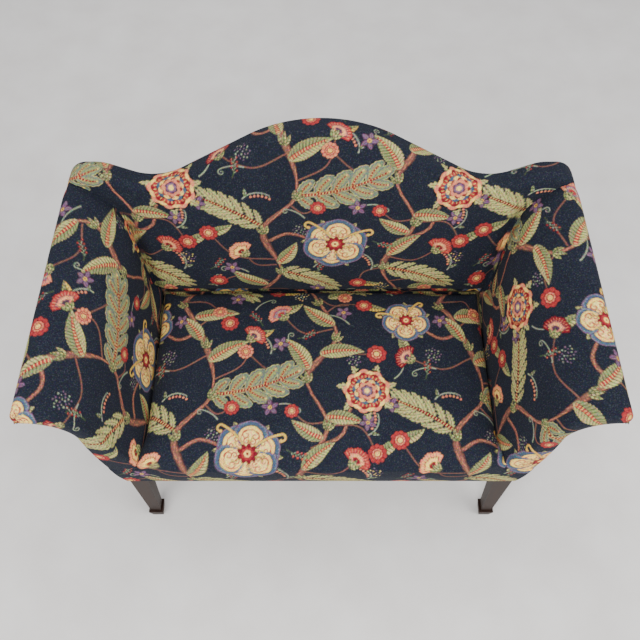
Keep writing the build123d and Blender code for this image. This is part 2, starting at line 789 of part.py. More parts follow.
with BuildPart() as back_webbing:
    with BuildSketch(BACK_PLANE.offset(FRAME_FRONT)):
        with Locations((0, web_rail_lap + web_up_span / 2)):
            with GridLocations(2 * POST_IN / BACK_WEBS_UP, 1, BACK_WEBS_UP, 1):
                Rectangle(WEB_WIDTH, web_up_span)
            with GridLocations(1, web_up_span / BACK_WEBS_ACROSS, 1, BACK_WEBS_ACROSS):
                Rectangle(2 * back_web_half, WEB_WIDTH)
    extrude(amount=WEB_THICK)
keep(back_webbing, "back_webbing")

with BuildPart() as arm_lining:
    loft([arm_lining_ring(y, *lining_layers) for y in ARM_STATIONS])
    cut_along(BOARD_REAR, Keep.BOTTOM)
    cut_behind(WEB_FACE)
keep_pair(arm_lining, "arm_lining")

# Seat pad and cover


def seat_body(inset, bottom, rear):
    """The seat's crowned form, smaller by an inset, from a bottom height to a place at the rear."""
    half = HALF_SEAT - FIT - inset
    roll = SEAT_ROLL - inset
    front = FRONT_Y + inset
    sections = []
    for share in (-1, -0.6, 0, 0.6, 1):
        edge = SEAT_HEIGHT - SEAT_SIDE_DROP * share**2 - inset
        peak = edge + SEAT_CROWN * (1 - share**2)
        middle = ((front + roll + rear) / 2, peak)
        with BuildSketch(Plane.YZ.offset(half * share)) as section:
            with BuildLine():
                Line((front, bottom), (front, edge - roll))
                ThreePointArc(
                    (front, edge - roll),
                    (front + roll * (1 - cos(pi / 4)), edge - roll * (1 - sin(pi / 4))),
                    (front + roll, edge),
                )
                ThreePointArc((front + roll, edge), middle, (rear, edge - SEAT_SIDE_DROP))
                Polyline((rear, edge - SEAT_SIDE_DROP), (rear, bottom), (front, bottom))
            make_face()
        sections.append(section.sketch)
    loft(sections)


with BuildPart() as seat_pad:
    seat_body(COVER + FIT, DECK, SEAT_REAR)
keep(seat_pad, "seat_pad")

with BuildPart() as seat_hollow:
    seat_body(COVER, DECK - COVER, SEAT_REAR + COVER)

with BuildPart() as nose_shell:
    arm_nose(0)
with BuildPart() as nose_hollow:
    arm_nose(COVER)
with BuildPart() as band_end:
    add(nose_shell.part)
    add(nose_hollow.part, mode=Mode.SUBTRACT)
    split(bisect_by=Plane.XY.offset(BAND_TOP), keep=Keep.BOTTOM)
    with Locations((HALF_SEAT, ARM_BODY_Y, BAND_TOP)):
        Box(
            2 * LEG_SQUARE,
            2 * (ARM_NOSE - COVER),
            2 * (BAND_TOP - FABRIC_HEM),
            mode=Mode.SUBTRACT,
        )

with BuildPart() as seat_cover:
    seat_body(0, DECK, SEAT_REAR)
    add(seat_hollow.part, mode=Mode.SUBTRACT)
    with Locations((0, FRONT_Y + COVER / 2, (FABRIC_HEM + BAND_TOP) / 2)):
        Box(2 * (LEG_IN + LEG_SQUARE / 2), COVER, BAND_TOP - FABRIC_HEM)
    add(band_end.part)
    mirror(band_end.part, about=Plane.YZ)
keep(seat_cover, "seat_cover")

# Back pad and covers

back_foot = COVER


def back_body(layer, foot, rear):
    """The back's rounded form behind a layer, from its front to a depth at the rear."""
    steps = [
        (-layer, BACK_ROLL),
        (-layer - 0.08 * BACK_ROLL, 0.6 * BACK_ROLL),
        (-layer - 0.3 * BACK_ROLL, 0.28 * BACK_ROLL),
        (-layer - 0.6 * BACK_ROLL, 0.08 * BACK_ROLL),
        (-layer - BACK_ROLL, 0),
    ]
    loft([back_face(depth, inset + layer, foot) for depth, inset in steps], ruled=True)
    extrude(back_face(rear, layer, foot), amount=-layer - BACK_ROLL - rear)


def back_crown(layer):
    """The swell of the inside back, a shallow lens on its front face."""
    half = HALF_SEAT - BACK_CROWN_MARGIN
    sections = []
    for share in (-1, -0.66, -0.33, 0, 0.33, 0.66, 1):
        arch = 0.5 + 0.5 * cos(pi * share * half / DIP_HALF_SPAN)
        high = between(DIP_RISE, HUMP_RISE, arch) - BACK_CROWN_MARGIN
        low = BACK_CROWN_MARGIN / 2
        swell = COVER / 2 + BACK_CROWN * (1 - share**2)
        with BuildSketch(Plane.YZ.offset(half * share)) as section:
            with BuildLine():
                ThreePointArc(
                    back_point(low, -layer - COVER / 4),
                    back_point((low + high) / 2, swell - layer - COVER / 4),
                    back_point(high, -layer - COVER / 4),
                )
                Line(back_point(high, -layer - COVER / 4), back_point(low, -layer - COVER / 4))
            make_face()
        sections.append(section.sketch)
    loft(sections)


with BuildPart() as arm_space:
    loft([arm_whole(y, -FIT, -FIT) for y in ARM_STATIONS])
    mirror(about=Plane.YZ)

with BuildPart() as back_pad:
    pad_layer = COVER + FIT
    back_body(pad_layer, back_foot + FIT, WEB_FACE)
    back_crown(pad_layer)
    extrude(
        crest_face(FRAME_REAR + FIT, pad_layer, LIP_RISE),
        amount=WEB_FACE - FRAME_REAR - FIT,
    )
    extrude(
        crest_face(FRAME_REAR, COVER + CREST_PADDING - FIT, LIP_RISE - COVER),
        amount=WEB_FACE - FRAME_REAR,
        mode=Mode.SUBTRACT,
    )
    add(arm_space.part, mode=Mode.SUBTRACT)
keep(back_pad, "back_pad")

with BuildPart() as back_hollow:
    back_body(COVER, back_foot - 2 * BACK_ROLL, FRAME_REAR - COVER)
    back_crown(COVER)

with BuildPart() as inside_back_cover:
    back_body(0, back_foot, FRAME_REAR)
    back_crown(0)
    add(back_hollow.part, mode=Mode.SUBTRACT)
    with BuildSketch(BACK_PLANE.offset(FRAME_FRONT)):
        with Locations((0, LIP_RISE - HUMP_RISE / 2)):
            Rectangle(4 * HALF_SEAT, HUMP_RISE)
        with Locations((-EAR_HALF_SPAN, LIP_RISE), (EAR_HALF_SPAN, LIP_RISE)):
            Rectangle(2 * ARM_LIP, ARM_LIP)
    extrude(amount=FRAME_REAR - FRAME_FRONT - COVER, mode=Mode.SUBTRACT)
    add(arm_space.part, mode=Mode.SUBTRACT)
keep(inside_back_cover, "inside_back_cover")

with BuildPart() as outside_back_cover:
    hem_rise = back_rise(RAIL_BOTTOM + COVER, FRAME_REAR)
    extrude(
        back_face(FRAME_REAR - COVER, 0, hem_rise, behind_arms=True),
        amount=FRAME_THICK + COVER - FIT,
    )
    extrude(
        back_face(FRAME_REAR, COVER, hem_rise - COVER, behind_arms=True),
        amount=FRAME_THICK + COVER,
        mode=Mode.SUBTRACT,
    )
    with BuildSketch(BACK_PLANE.offset(FRAME_REAR)):
        with Locations((0, LIP_RISE + HUMP_RISE / 2)):
            Rectangle(4 * HALF_SEAT, HUMP_RISE)
    extrude(amount=FRAME_THICK + COVER, mode=Mode.SUBTRACT)
keep(outside_back_cover, "outside_back_cover")

# Arm pads and covers

with BuildPart() as arm_pad:
    arm_nose(COVER + FIT)
    cut_below(RAIL_TOP + FIT)
    pad_layers = (COVER + FIT, COVER + FIT + ARM_PADDING)
    loft([arm_pad_ring(y, *pad_layers) for y in ARM_STATIONS])
    cut_behind(WEB_FACE)
keep_pair(arm_pad, "arm_pad")

with BuildPart() as inside_arm_cover:
    add(nose_shell.part)
    add(nose_hollow.part, mode=Mode.SUBTRACT)
    cut_below(BAND_TOP + FIT)
    loft([arm_cover_ring(y) for y in ARM_STATIONS])
    cut_behind(WEB_FACE)
keep_pair(inside_arm_cover, "inside_arm_cover")

with BuildPart() as outside_arm_cover:
    loft([arm_outer_ring(y) for y in ARM_STATIONS])
    cut_behind(FRAME_FRONT)
keep_pair(outside_arm_cover, "outside_arm_cover")

# Dust cover under the seat

with BuildPart() as dust_cover:
    dust_front = LEG_FRONT + RAIL_THICK / 4
    dust_rear = back_point(back_rail_low, back_rail_depth - RAIL_THICK / 2)[0]
    with BuildSketch(Plane.XY.offset(RAIL_BOTTOM - HESSIAN)):
        with Locations((0, (dust_front + dust_rear) / 2)):
            Rectangle(2 * web_side, dust_rear - dust_front)
        for way in (-1, 1):
            with Locations((way * (LEG_IN + LEG_SQUARE / 2), LEG_FRONT + LEG_SQUARE / 2)):
                Rectangle(LEG_SQUARE + 2 * FIT, LEG_SQUARE + 2 * FIT, mode=Mode.SUBTRACT)
            with Locations((way * (POST_IN + POST_WIDTH / 2), knee_front[0] + FRAME_THICK / 2)):
                Rectangle(POST_WIDTH + 2 * FIT, FRAME_THICK + 2 * COVER, mode=Mode.SUBTRACT)
    extrude(amount=HESSIAN)
keep(dust_cover, "dust_cover")
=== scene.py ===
import functools
import math

import bpy
import numpy as np
from bpy.props import FloatProperty, FloatVectorProperty, PointerProperty
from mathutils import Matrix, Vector


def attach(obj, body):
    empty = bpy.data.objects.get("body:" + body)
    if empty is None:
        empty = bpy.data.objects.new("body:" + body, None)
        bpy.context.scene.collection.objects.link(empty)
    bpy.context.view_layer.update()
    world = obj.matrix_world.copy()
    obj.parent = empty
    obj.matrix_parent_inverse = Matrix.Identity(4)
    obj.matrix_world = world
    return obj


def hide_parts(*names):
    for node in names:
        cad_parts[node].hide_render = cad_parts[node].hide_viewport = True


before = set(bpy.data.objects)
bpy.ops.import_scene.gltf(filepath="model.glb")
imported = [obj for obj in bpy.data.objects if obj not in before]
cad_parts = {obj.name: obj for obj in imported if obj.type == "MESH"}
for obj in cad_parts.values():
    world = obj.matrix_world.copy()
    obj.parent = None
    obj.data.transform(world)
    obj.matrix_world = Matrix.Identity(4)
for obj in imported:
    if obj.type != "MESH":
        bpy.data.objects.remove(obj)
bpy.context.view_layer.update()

bl_info = {
    "name": "Camelback Settee",
    "version": (1, 0, 0),
    "blender": (4, 5, 0),
    "location": "3D View > Sidebar > Settee",
    "description": "Upholsters the settee's frame in a flowered tapestry and sets its stage",
    "category": "Object",
}

QUARTER, WHOLE = math.pi / 2, 2 * math.pi
GOLDEN_TURN = 2.399963
SIDES = (("left", -1), ("right", 1))
# Where the middle of the seat's hem falls in the tapestry's repeat, in metres.
SEAT_CLOTH = (0.525, 0.050)
# Colour of the cloth's hidden back.
CLOTH_BACK = (0.06, 0.055, 0.05)
# Point spacing of the coarse copy that is stuffed, and of a panel's inner skin.
STUFFING_STRIDE, PADDED_STRIDE, SHEET_STRIDE = 9, 8, 4
STUFFING_FRAMES = 20
STUFFING_CLOTH = {
    "quality": 6,
    "mass": 0.4,
    "tension_stiffness": 25,
    "compression_stiffness": 25,
    "shear_stiffness": 10,
    "bending_stiffness": 2,
    "vertex_group_mass": "held",
    "use_pressure": True,
}


def metres(label, text, value):
    return FloatProperty(name=label, description=text, default=value, unit="LENGTH", precision=4)


def degrees(label, text, value):
    return FloatProperty(name=label, description=text, default=math.radians(value), subtype="ANGLE")


def tint(label, text, red, green, blue):
    shade = (red / 255, green / 255, blue / 255)
    return FloatVectorProperty(
        name=label, description=text, default=shade, size=3, min=0, max=1, subtype="COLOR_GAMMA"
    )


class SetteeSizes(bpy.types.PropertyGroup):
    """Sizes of the upholstery, in the frame of the wooden parts."""

    seat_width: metres("Seat width", "Width between the arms at the foot of the seat", 0.880)
    seat_depth: metres("Seat depth", "Depth from the front band to the foot of the back", 0.492)
    seat_height: metres("Seat height", "Height of the seat's front edge", 0.451)
    seat_crown: metres("Seat crown", "Rise of the seat's middle above its edge", 0.016)
    seat_roll: metres("Seat roll", "Radius of the seat's front edge", 0.026)
    seat_front: metres("Seat front", "Y of the front band's face", -0.33)
    hem_height: metres("Hem height", "Height of the cloth's lower edge", 0.323)
    band_top: metres("Band top", "Height at which the arms meet the front band", 0.412)
    back_rake: degrees("Back rake", "Lean of the back from upright", 12)
    back_thickness: metres("Back thickness", "Thickness of the back at its crest", 0.062)
    back_crown: metres("Back crown", "Swell of the back's middle", 0.015)
    crest_roll: metres("Crest roll", "Radius of the crest's front edge", 0.019)
    hump_rise: metres("Hump rise", "Rise of the camel hump above the seat", 0.516)
    dip_rise: metres("Dip rise", "Rise of the dips beside the hump", 0.358)
    ear_rise: metres("Ear rise", "Rise of the two ears", 0.394)
    dip_reach: metres("Dip reach", "Distance of a dip from the middle", 0.412)
    ear_peak: metres("Ear peak", "Distance of an ear's top from the middle", 0.546)
    ear_reach: metres("Ear reach", "Distance of an ear's end from the middle", 0.610)
    ear_corner: metres("Ear corner", "Radius of an ear's corner", 0.044)
    hump_radius: metres("Hump radius", "Radius of the hump's arc", 0.355)
    dip_radius: metres("Dip radius", "Radius of the dip on the hump's side", 0.148)
    ear_dip_radius: metres("Ear dip radius", "Radius of the dip on the ear's side", 0.125)
    ear_radius: metres("Ear radius", "Radius of the ear's arc", 0.106)
    arm_tip_front: metres("Arm tip, front", "Reach of the arm's roll at the front", 0.664)
    arm_tip_rear: metres("Arm tip, rear", "Reach of the arm's roll at the back", 0.617)
    arm_top_front: metres("Arm top, front", "Height of the arm at the front", 0.738)
    arm_top_rear: metres("Arm top, rear", "Height of the arm at the back", 0.809)
    arm_roll_front: metres("Arm roll, front", "Radius of the arm's roll at the front", 0.135)
    arm_roll_rear: metres("Arm roll, rear", "Radius of the arm's roll at the back", 0.207)
    arm_turn_rear: degrees("Arm turn, rear", "Turn of the arm's lip at the back", 26)
    arm_lip: metres("Arm lip", "Thickness of the arm's rolled edge", 0.043)
    arm_foot: metres("Arm foot", "Height at which the inside arm is tucked in", 0.400)
    arm_base: metres("Arm base", "Distance of the outside arm's hem from the middle", 0.506)
    arm_rear: metres("Arm rear", "Y at which the arm's rear sizes hold", 0.2381)
    belly_front: metres("Arm belly, front", "Swell of the outside arm at the front", 0.0085)
    belly_rear: metres("Arm belly, rear", "Swell of the outside arm at the back", 0.001)
    arm_edge: metres("Arm front edge", "Radius of the arm's padded front edge", 0.012)


class SetteeColours(bpy.types.PropertyGroup):
    """Yarn and finish colours."""

    ground: tint("Ground", "Navy of the cloth's ground", 29, 33, 44)
    ink: tint("Ink", "Dark line round the flowers", 16, 18, 26)
    sage: tint("Sage", "Main green of the leaves", 142, 143, 94)
    lime: tint("Lime", "Light green of the leaves", 194, 182, 116)
    olive: tint("Olive", "Dark green of the leaves", 62, 74, 48)
    cream: tint("Cream", "Petals of the large bloom", 255, 208, 110)
    ivory: tint("Ivory", "Lightest yarn", 255, 220, 130)
    coral: tint("Coral", "Main red of the flowers", 164, 54, 52)
    salmon: tint("Salmon", "Light red of the flowers", 224, 134, 98)
    crimson: tint("Crimson", "Deep red of the flowers", 122, 22, 36)
    rust: tint("Rust", "Branches", 122, 80, 67)
    bark: tint("Bark", "Shaded side of the branches", 88, 58, 51)
    plum: tint("Plum", "Purple of the small flowers", 80, 50, 72)
    mauve: tint("Mauve", "Light purple of the small flowers", 124, 93, 116)
    slate: tint("Slate", "Blue border of the blooms", 68, 86, 108)
    mist: tint("Mist", "Light blue of the borders", 128, 142, 152)
    mint: tint("Mint", "Thin tendrils", 154, 161, 132)
    teal: tint("Teal", "Blue-green of the fronds", 102, 115, 98)
    gold: tint("Gold", "Stamens", 220, 176, 82)
    wood: tint("Mahogany", "Show wood of the legs", 46, 30, 23)


def smooth(value):
    """Eases from 0 to 1 while the value goes from 0 to 1."""
    value = np.clip(value, 0, 1)
    return value * value * (3 - 2 * value)


def quarter_round(share):
    """Falls from 0 to 1 along a quarter circle."""
    return 1 - np.sqrt(np.maximum(1 - share**2, 0))


def part_of(value, low, high):
    """How far a value has come from low to high, held between 0 and 1."""
    return np.clip((value - low) / (high - low), 0, 1)


def linear(shade):
    """Turns a display colour into linear light."""
    shade = np.asarray(shade, float)
    return np.where(shade <= 0.04045, shade / 12.92, ((shade + 0.055) / 1.055) ** 2.4)


def way(turn):
    """Unit direction at an angle, or one for each of several angles."""
    return np.stack([np.cos(turn), np.sin(turn)], axis=-1)


def turns(count, start=0.0):
    """Angles spaced evenly round a circle."""
    return start + WHOLE * np.arange(count) / count


def run_of(line):
    """Running length along a line of points."""
    return np.concatenate([[0], np.cumsum(np.linalg.norm(np.diff(line, axis=0), axis=1))])


def read_line(line, run, at):
    """Places on a line where its running measure reaches given values."""
    return np.stack([np.interp(at, run, column) for column in line.T], axis=-1)


def beside(line):
    """Unit vectors to the left of a line."""
    run = np.gradient(line, axis=0)
    run /= np.maximum(np.linalg.norm(run, axis=1, keepdims=True), 1e-9)
    return np.column_stack([-run[:, 1], run[:, 0]])


def spline(knots, count):
    """A smooth line through its knots."""
    knots = np.asarray(knots, float)
    ends = np.vstack([2 * knots[0] - knots[1], knots, 2 * knots[-1] - knots[-2]])
    at = np.linspace(0, len(knots) - 1 - 1e-6, count)
    base = at.astype(int)
    part = (at - base)[:, None]
    a, b, c, d = (ends[base + step] for step in range(4))
    bend = 2 * a - 5 * b + 4 * c - d
    return b + 0.5 * part * (c - a + part * (bend + part * (3 * (b - c) + d - a)))


def bow(base, heading, length, bend, count):
    """A line of one length that turns steadily."""
    steps = way(heading + bend * np.linspace(0, 1, count)) * length / (count - 1)
    return np.asarray(base, float) + np.vstack([[0, 0], np.cumsum(steps[:-1], axis=0)])


def coil(start, turn, hand, size, wind):
    """A curl that carries on from a line's end; size is its radius at each angle of wind."""
    middle = start + size[0] * hand * way(turn + QUARTER)
    return middle + way(turn + hand * wind - QUARTER) * (size * hand)[:, None]


class Repeat:
    """One repeat of the tapestry, painted in millimetres on a tile that joins itself."""

    WIDTH, HEIGHT = 690, 640
    FINE = 2  # drawn cells along a millimetre

    def __init__(self, yarns):
        self.yarns = {name: linear(shade) for name, shade in yarns}
        self.tile = np.empty((self.HEIGHT * self.FINE, self.WIDTH * self.FINE, 3), np.float32)
        self.tile[:] = self.yarns["ground"]
        self.chance = np.random.default_rng(11)

    def fill(self, outline, colour):
        """Fills a closed outline, counting crossings along each row of cells."""
        points = np.asarray(outline, float) * self.FINE
        low = np.floor(points.min(axis=0)).astype(int)
        wide, high = np.ceil(points.max(axis=0)).astype(int) + 1 - low
        levels = np.arange(high) + low[1] + 0.5
        following = np.roll(points, -1, axis=0)
        crosses = (points[:, 1, None] <= levels) != (following[:, 1, None] <= levels)
        edge, row = np.nonzero(crosses)
        rise = following[edge, 1] - points[edge, 1]
        along = (levels[row] - points[edge, 1]) / rise
        across = points[edge, 0] + along * (following[edge, 0] - points[edge, 0]) - low[0]
        column = np.clip(np.ceil(across - 0.5), 0, wide).astype(int)
        toggles = np.zeros((high, wide + 1), np.int32)
        np.add.at(toggles, (row, column), 1)
        row, column = np.nonzero(np.cumsum(toggles, axis=1)[:, :wide] % 2)
        tall, broad = self.tile.shape[:2]
        self.tile[(row + low[1]) % tall, (column + low[0]) % broad] = self.yarns[colour]

    def ribbon(self, line, half, colour, rim=0):
        """Fills a band along a line; a rim lays a wider dark band under it."""
        if rim:
            self.ribbon(line, half + rim, "ink")
        side = beside(line) * np.broadcast_to(half, len(line))[:, None]
        self.fill(np.vstack([line + side, (line - side)[::-1]]), colour)

    def disc(self, centre, radius, colour, lobes=0, depth=0.0, phase=0.0, rim=0):
        """Fills a disc, round or scalloped; a rim lays a larger dark one under it."""
        if rim:
            self.disc(centre, radius + rim, "ink", lobes, depth, phase)
        turn = np.linspace(0, WHOLE, 72, endpoint=False)
        scallop = depth * np.abs(np.sin(lobes * (turn - phase) / 2)) - depth / 2
        self.fill(centre + way(turn) * (radius * (1 + scallop))[:, None], colour)

    def rings(self, centre, radius, spin, rows):
        """Scalloped discs on each other: share of the radius, colour, lobes, depth and lag."""
        for share, colour, lobes, depth, lag in rows:
            self.disc(centre, radius * share, colour, lobes, depth, spin + lag)

    def ray(self, centre, turn, near, far, half, colour):
        """A short straight stroke that points away from a centre."""
        out = way(turn)
        self.ribbon(np.linspace(centre + out * near, centre + out * far, 4), half, colour)

    def ladder(self, line, half, core="crimson", edge="ink"):
        """A midrib like a rope: a dark edge, a red core and pale rungs."""
        self.ribbon(line, half + 0.9, edge)
        self.ribbon(line, half, core)
        run, side = run_of(line), beside(line)
        for mark in np.arange(3, run[-1] - 1, 7.6):
            at, out = read_line(line, run, mark), read_line(side, run, mark)
            on = np.array([out[1], -out[0]])
            out = out * half[min(int(mark / run[-1] * len(half)), len(half) - 1)] * 0.9
            left, right = at + out, at - out
            rung = [left + on * 0.6, left + on * 2.2, right + on * 0.8, right - on * 0.8]
            self.fill(rung, "ivory")

    def leaf(self, base, heading, length, width, bend, light="lime", rib=True):
        """A lance-shaped leaf with combed veins."""
        line = bow(base, heading, length, bend, 48)
        side = beside(line)
        share = np.linspace(0, 1, 48)
        half = width / 2 * np.sin(math.pi * share**0.72) ** 0.85
        self.ribbon(line, half * (1 + 0.07 * np.sin(share * length * 0.9)), light, 1.2)
        self.ribbon(line + side * (half * 0.5)[:, None], half * 0.46, "sage")
        span = 3.6 / length
        for near in np.arange(0.05, 0.86, 8.2 / length):
            far = min(near + 0.11, 0.97)
            foot, knee = read_line(line, share, [near, near + span])
            for hand in (1, -1):
                edge = line + side * (half * 0.97 * hand)[:, None]
                tip, heel = read_line(edge, share, [far, far + span * 0.5])
                self.fill([foot, tip, heel, knee], "olive")
        if rib:
            self.ladder(line[2:-6], np.linspace(5.0, 1.9, 40), "coral")
        else:
            self.ribbon(line[1:-4], np.linspace(1.3, 0.5, 43), "olive")

    def small_leaf(self, base, heading, length, width, bend):
        """A leaf without a roped midrib, gold where it is narrow."""
        self.leaf(base, heading, length, width, bend, "gold" if width < 26 else "lime", False)

    def plume(self, base, heading, length, width, bend, pairs=7):
        """A feathery leaf of toothed lobes along a roped midrib."""
        line = bow(base, heading, length, bend, 60)
        for pair in range(pairs):
            share = 0.06 + 0.86 * pair / pairs
            reach = width / 2 * math.sin(math.pi * (0.2 + 0.72 * share)) ** 0.7
            for hand in (1, -1):
                turn = heading + bend * share + hand * (1.0 - 0.4 * share)
                self.frill(line[int(share * 59)], turn, reach, reach * 0.2, -hand * 0.55)
        self.frill(line[-10], heading + bend, width * 0.34, width * 0.08, 0.1)
        self.ladder(line[:-5], np.linspace(4.4, 1.7, 55))

    def frill(self, base, heading, length, half, bend):
        """One lobe with teeth that point to its tip."""
        line = bow(base, heading, length, bend, 84)
        share = np.linspace(0, 1, 84)
        tooth = 0.42 + 0.58 * np.mod(share * 5.5, 1)
        width = half * np.sin(math.pi * (0.1 + 0.9 * share) ** 0.85) ** 0.6 * tooth
        self.ribbon(line, width, "sage", 1.1)
        self.ribbon(line, width * 0.66, "lime")
        self.ribbon(line[:-8], 0.9, "olive")

    def frond(self, base, heading, length, width, bend, lobes=5):
        """A round-lobed blue-green leaf with red veins edged in cream."""
        line = bow(base, heading, length, bend, 90)
        blades = []
        for lobe in range(lobes):
            share = 0.04 + 0.84 * lobe / lobes
            reach = width / 2 * math.sin(math.pi * (0.22 + 0.66 * share)) ** 0.6
            for hand in (1, -1):
                turn = heading + bend * share + hand * (1.15 - 0.3 * share)
                blade = bow(line[int(share * 89)], turn, reach, -hand * 0.75, 36)
                blades.append((blade, reach * 0.25))
        blades.append((bow(line[-22], heading + bend, width * 0.42, 0.1, 36), width * 0.12))
        share = np.linspace(0, 1, 36)
        shape = np.sin(math.pi * (0.12 + 0.87 * share) ** 1.15) ** 0.55
        shape *= 1 + 0.07 * np.sin(share * 34)
        for grow, stop, colour in (
            (1.4, 36, "ink"), (0, 36, "lime"), (-1.7, 36, "teal"), (-6.5, 30, "sage"),
        ):
            for blade, half in blades:
                self.ribbon(blade[:stop], np.maximum(half * shape + grow, 0.2)[:stop], colour)
            self.ribbon(line, np.linspace(9, 3, 90) + grow * 0.5, colour)
        for blade, _ in blades[:-1]:
            self.ribbon(blade[:29], np.linspace(3.6, 1.5, 29), "cream")
            self.ladder(blade[:27], np.linspace(2.2, 0.9, 27), edge="crimson")
        self.ribbon(line[:-6], np.linspace(5.4, 2.2, 84), "cream")
        self.ladder(line[:-8], np.linspace(3.8, 1.5, 82), edge="crimson")

    def rosette(self, centre, radius, outer):
        """A round flower of scalloped rings."""
        centre = np.asarray(centre, float)
        petals = 8 + radius % 4
        spin = self.chance.uniform(0, 6)
        self.rings(centre, radius, spin, (
            (1.07, "ink", petals, 0.16, 0), (1, outer, petals, 0.17, 0),
        ))
        for turn in turns(petals, spin):
            spoke = np.linspace(centre, centre + radius * 0.9 * way(turn), 5)
            self.ribbon(spoke, np.linspace(0.3, 0.8, 5), "crimson")
        self.rings(centre, radius, spin, (
            (0.66, "crimson", petals, 0.2, 0.35), (0.53, "salmon", petals, 0.2, 0.35),
            (0.4, "crimson", petals, 0.15, 0), (0.27, "cream", 7, 0.12, 0),
        ))
        for turn in turns(6, spin):
            self.disc(centre + radius * 0.15 * way(turn), 1.0, "crimson")

    def carnation(self, centre, heading, radius, outer, inner, stripe):
        """A fan of jagged petals over a green cup."""
        centre = np.asarray(centre, float)
        ahead = radius * way(heading)
        for spread, reach, colour in (
            (1.5, 1.05, "ink"), (1.45, 1.0, outer), (1.22, 0.72, inner), (1.12, 0.64, stripe),
            (0.9, 0.4, inner),
        ):
            turn = np.linspace(-spread, spread, 70)
            jag = 1 + 0.1 * np.abs(np.sin(turn * 4.6)) + 0.04 * np.sin(turn * 31)
            arc = centre + way(turn + heading) * (radius * reach * jag)[:, None]
            self.fill(np.vstack([arc, centre - 0.16 * ahead]), colour)
        for turn in np.linspace(-1.3, 1.3, 12) + heading:
            self.ray(centre, turn, radius * 0.72, radius * 0.98, 0.7, stripe)
            self.ray(centre, turn, radius * 0.42, radius * 0.6, 0.5, "ivory")
        for turn in (-0.7, 0.0, 0.7):
            cup = centre - 0.45 * ahead
            self.leaf(cup, heading + turn, radius * 0.72, radius * 0.3, 0.0, rib=False)

    def petal(self, centre, turn, radius):
        """One petal of the large bloom: nested colours, a beaded border and red swirls."""
        share = np.linspace(0, 1, 64)
        shape = radius * np.sin(math.pi * share**1.5 * 0.985) ** 0.62
        for reach, wide, colour, scallop in (
            (1.0, 0.5, "ink", 0.10), (0.985, 0.488, "mauve", 0.10), (0.955, 0.46, "slate", 0.10),
            (0.85, 0.368, "ink", 0.08), (0.83, 0.352, "cream", 0.06), (0.72, 0.275, "coral", 0.07),
            (0.695, 0.255, "ivory", 0.07),
        ):
            line = bow(centre, turn, radius * reach, 0.0, 64)
            half = wide * shape * (1 + scallop * (np.abs(np.sin(share * 17)) - 0.5))
            self.ribbon(line, half, colour)
            if colour == "slate":
                side = beside(line) * (half - radius * 0.03)[:, None]
                for bead in np.vstack([(line + side)[14:62:3], (line - side)[14:62:3]]):
                    self.disc(bead, 1.2, "mist")
        wind = np.linspace(0, 7.2, 44)
        for hand in (1, -1):
            for size, start in ((0.135, 0.55), (0.10, 0.37)):
                middle = centre + radius * start * way(turn + hand * 0.24)
                swirl = way(turn + hand * wind) * (radius * size * (1 - wind / 9))[:, None]
                self.ribbon(middle + swirl, np.linspace(1.7, 1.1, 44), "coral")

    def bloom(self, centre, radius, petals, spin):
        """The large bloom of cream petals, with leaves behind and gold stamens in front."""
        centre = np.asarray(centre, float)
        for turn in turns(petals, spin + math.pi / petals):
            base = centre + way(turn) * radius * 0.3
            self.leaf(base, turn, radius * 0.74, radius * 0.34, 0.2, rib=False)
        around = turns(petals, spin)
        for turn in (*around[::2], *around[1::2]):
            self.petal(centre, turn, radius)
        for turn, bend in ((spin + 0.5, -0.7), (spin + 1.6, 0.7)):
            line = bow(centre, turn, radius * 1.16, bend, 30)
            hand, size, wind = np.sign(bend), np.full(24, radius * 0.1), np.linspace(0, 3.6, 24)
            hook = coil(line[-1], turn + bend, hand, size, wind)
            for grow, colour in ((0.9, "ink"), (0, "gold")):
                self.ribbon(line, np.linspace(2.0, 3.0, 30) + grow, colour)
                self.ribbon(hook, np.linspace(3.0, 2.2, 24) + grow, colour)
                self.disc(hook[-1], 4.4 + grow, colour)
        for stamen, turn in enumerate(turns(11, spin + 0.2)):
            line = bow(centre, turn, radius * 0.5, 0.9 if stamen % 2 else -0.9, 16)
            self.ribbon(line, 0.8, "gold", 0.5)
            self.disc(line[-1], 2.2, "gold", rim=0.7)
        self.rings(centre, radius, spin, (
            (0.27, "ink", 9, 0.3, 0), (0.25, "crimson", 9, 0.3, 0), (0.17, "coral", 9, 0.2, 0.3),
            (0.1, "cream", 6, 0.15, 0), (0.04, "crimson", 0, 0, 0),
        ))

    def peony(self, centre, radius):
        """A second large flower of ringed red and cream petals in a green cup."""
        centre = np.asarray(centre, float)
        for turn in turns(7, 0.2):
            base = centre + radius * 0.4 * way(turn)
            self.frill(base, turn, radius * 0.78, radius * 0.22, 0.25)
        for reach, colour, lobes in (
            (0.86, "ink", 9), (0.83, "salmon", 9), (0.76, "cream", 9), (0.7, "crimson", 9),
            (0.65, "coral", 9), (0.53, "ink", 8), (0.51, "slate", 8), (0.45, "cream", 8),
            (0.38, "crimson", 8), (0.34, "salmon", 7), (0.23, "plum", 6), (0.18, "mauve", 6),
            (0.1, "cream", 5),
        ):
            self.disc(centre, radius * reach, colour, lobes, 0.2, reach * 5)
        for turn in turns(27):
            self.ray(centre, turn, radius * 0.55, radius * 0.66, 0.7, "cream")
            self.disc(centre + way(turn) * radius * 0.415, 1.1, "crimson")

    def tendril(self, base, heading, length, bend, curl=2.2, colour="mint"):
        """A thin stem that ends in a curl; returns the stem's line."""
        line = bow(base, heading, length, bend, 40)
        share = np.linspace(0, 1, 40)
        hand = 1 if bend >= 0 else -1
        size, wind = length * 0.13 * (1 - 0.78 * share), curl * math.pi * share
        self.ribbon(line, np.linspace(1.5, 1.0, 40), colour)
        curled = coil(line[-1], heading + bend, hand, size, wind)
        self.ribbon(curled, np.linspace(1.0, 0.6, 40), colour)
        return line

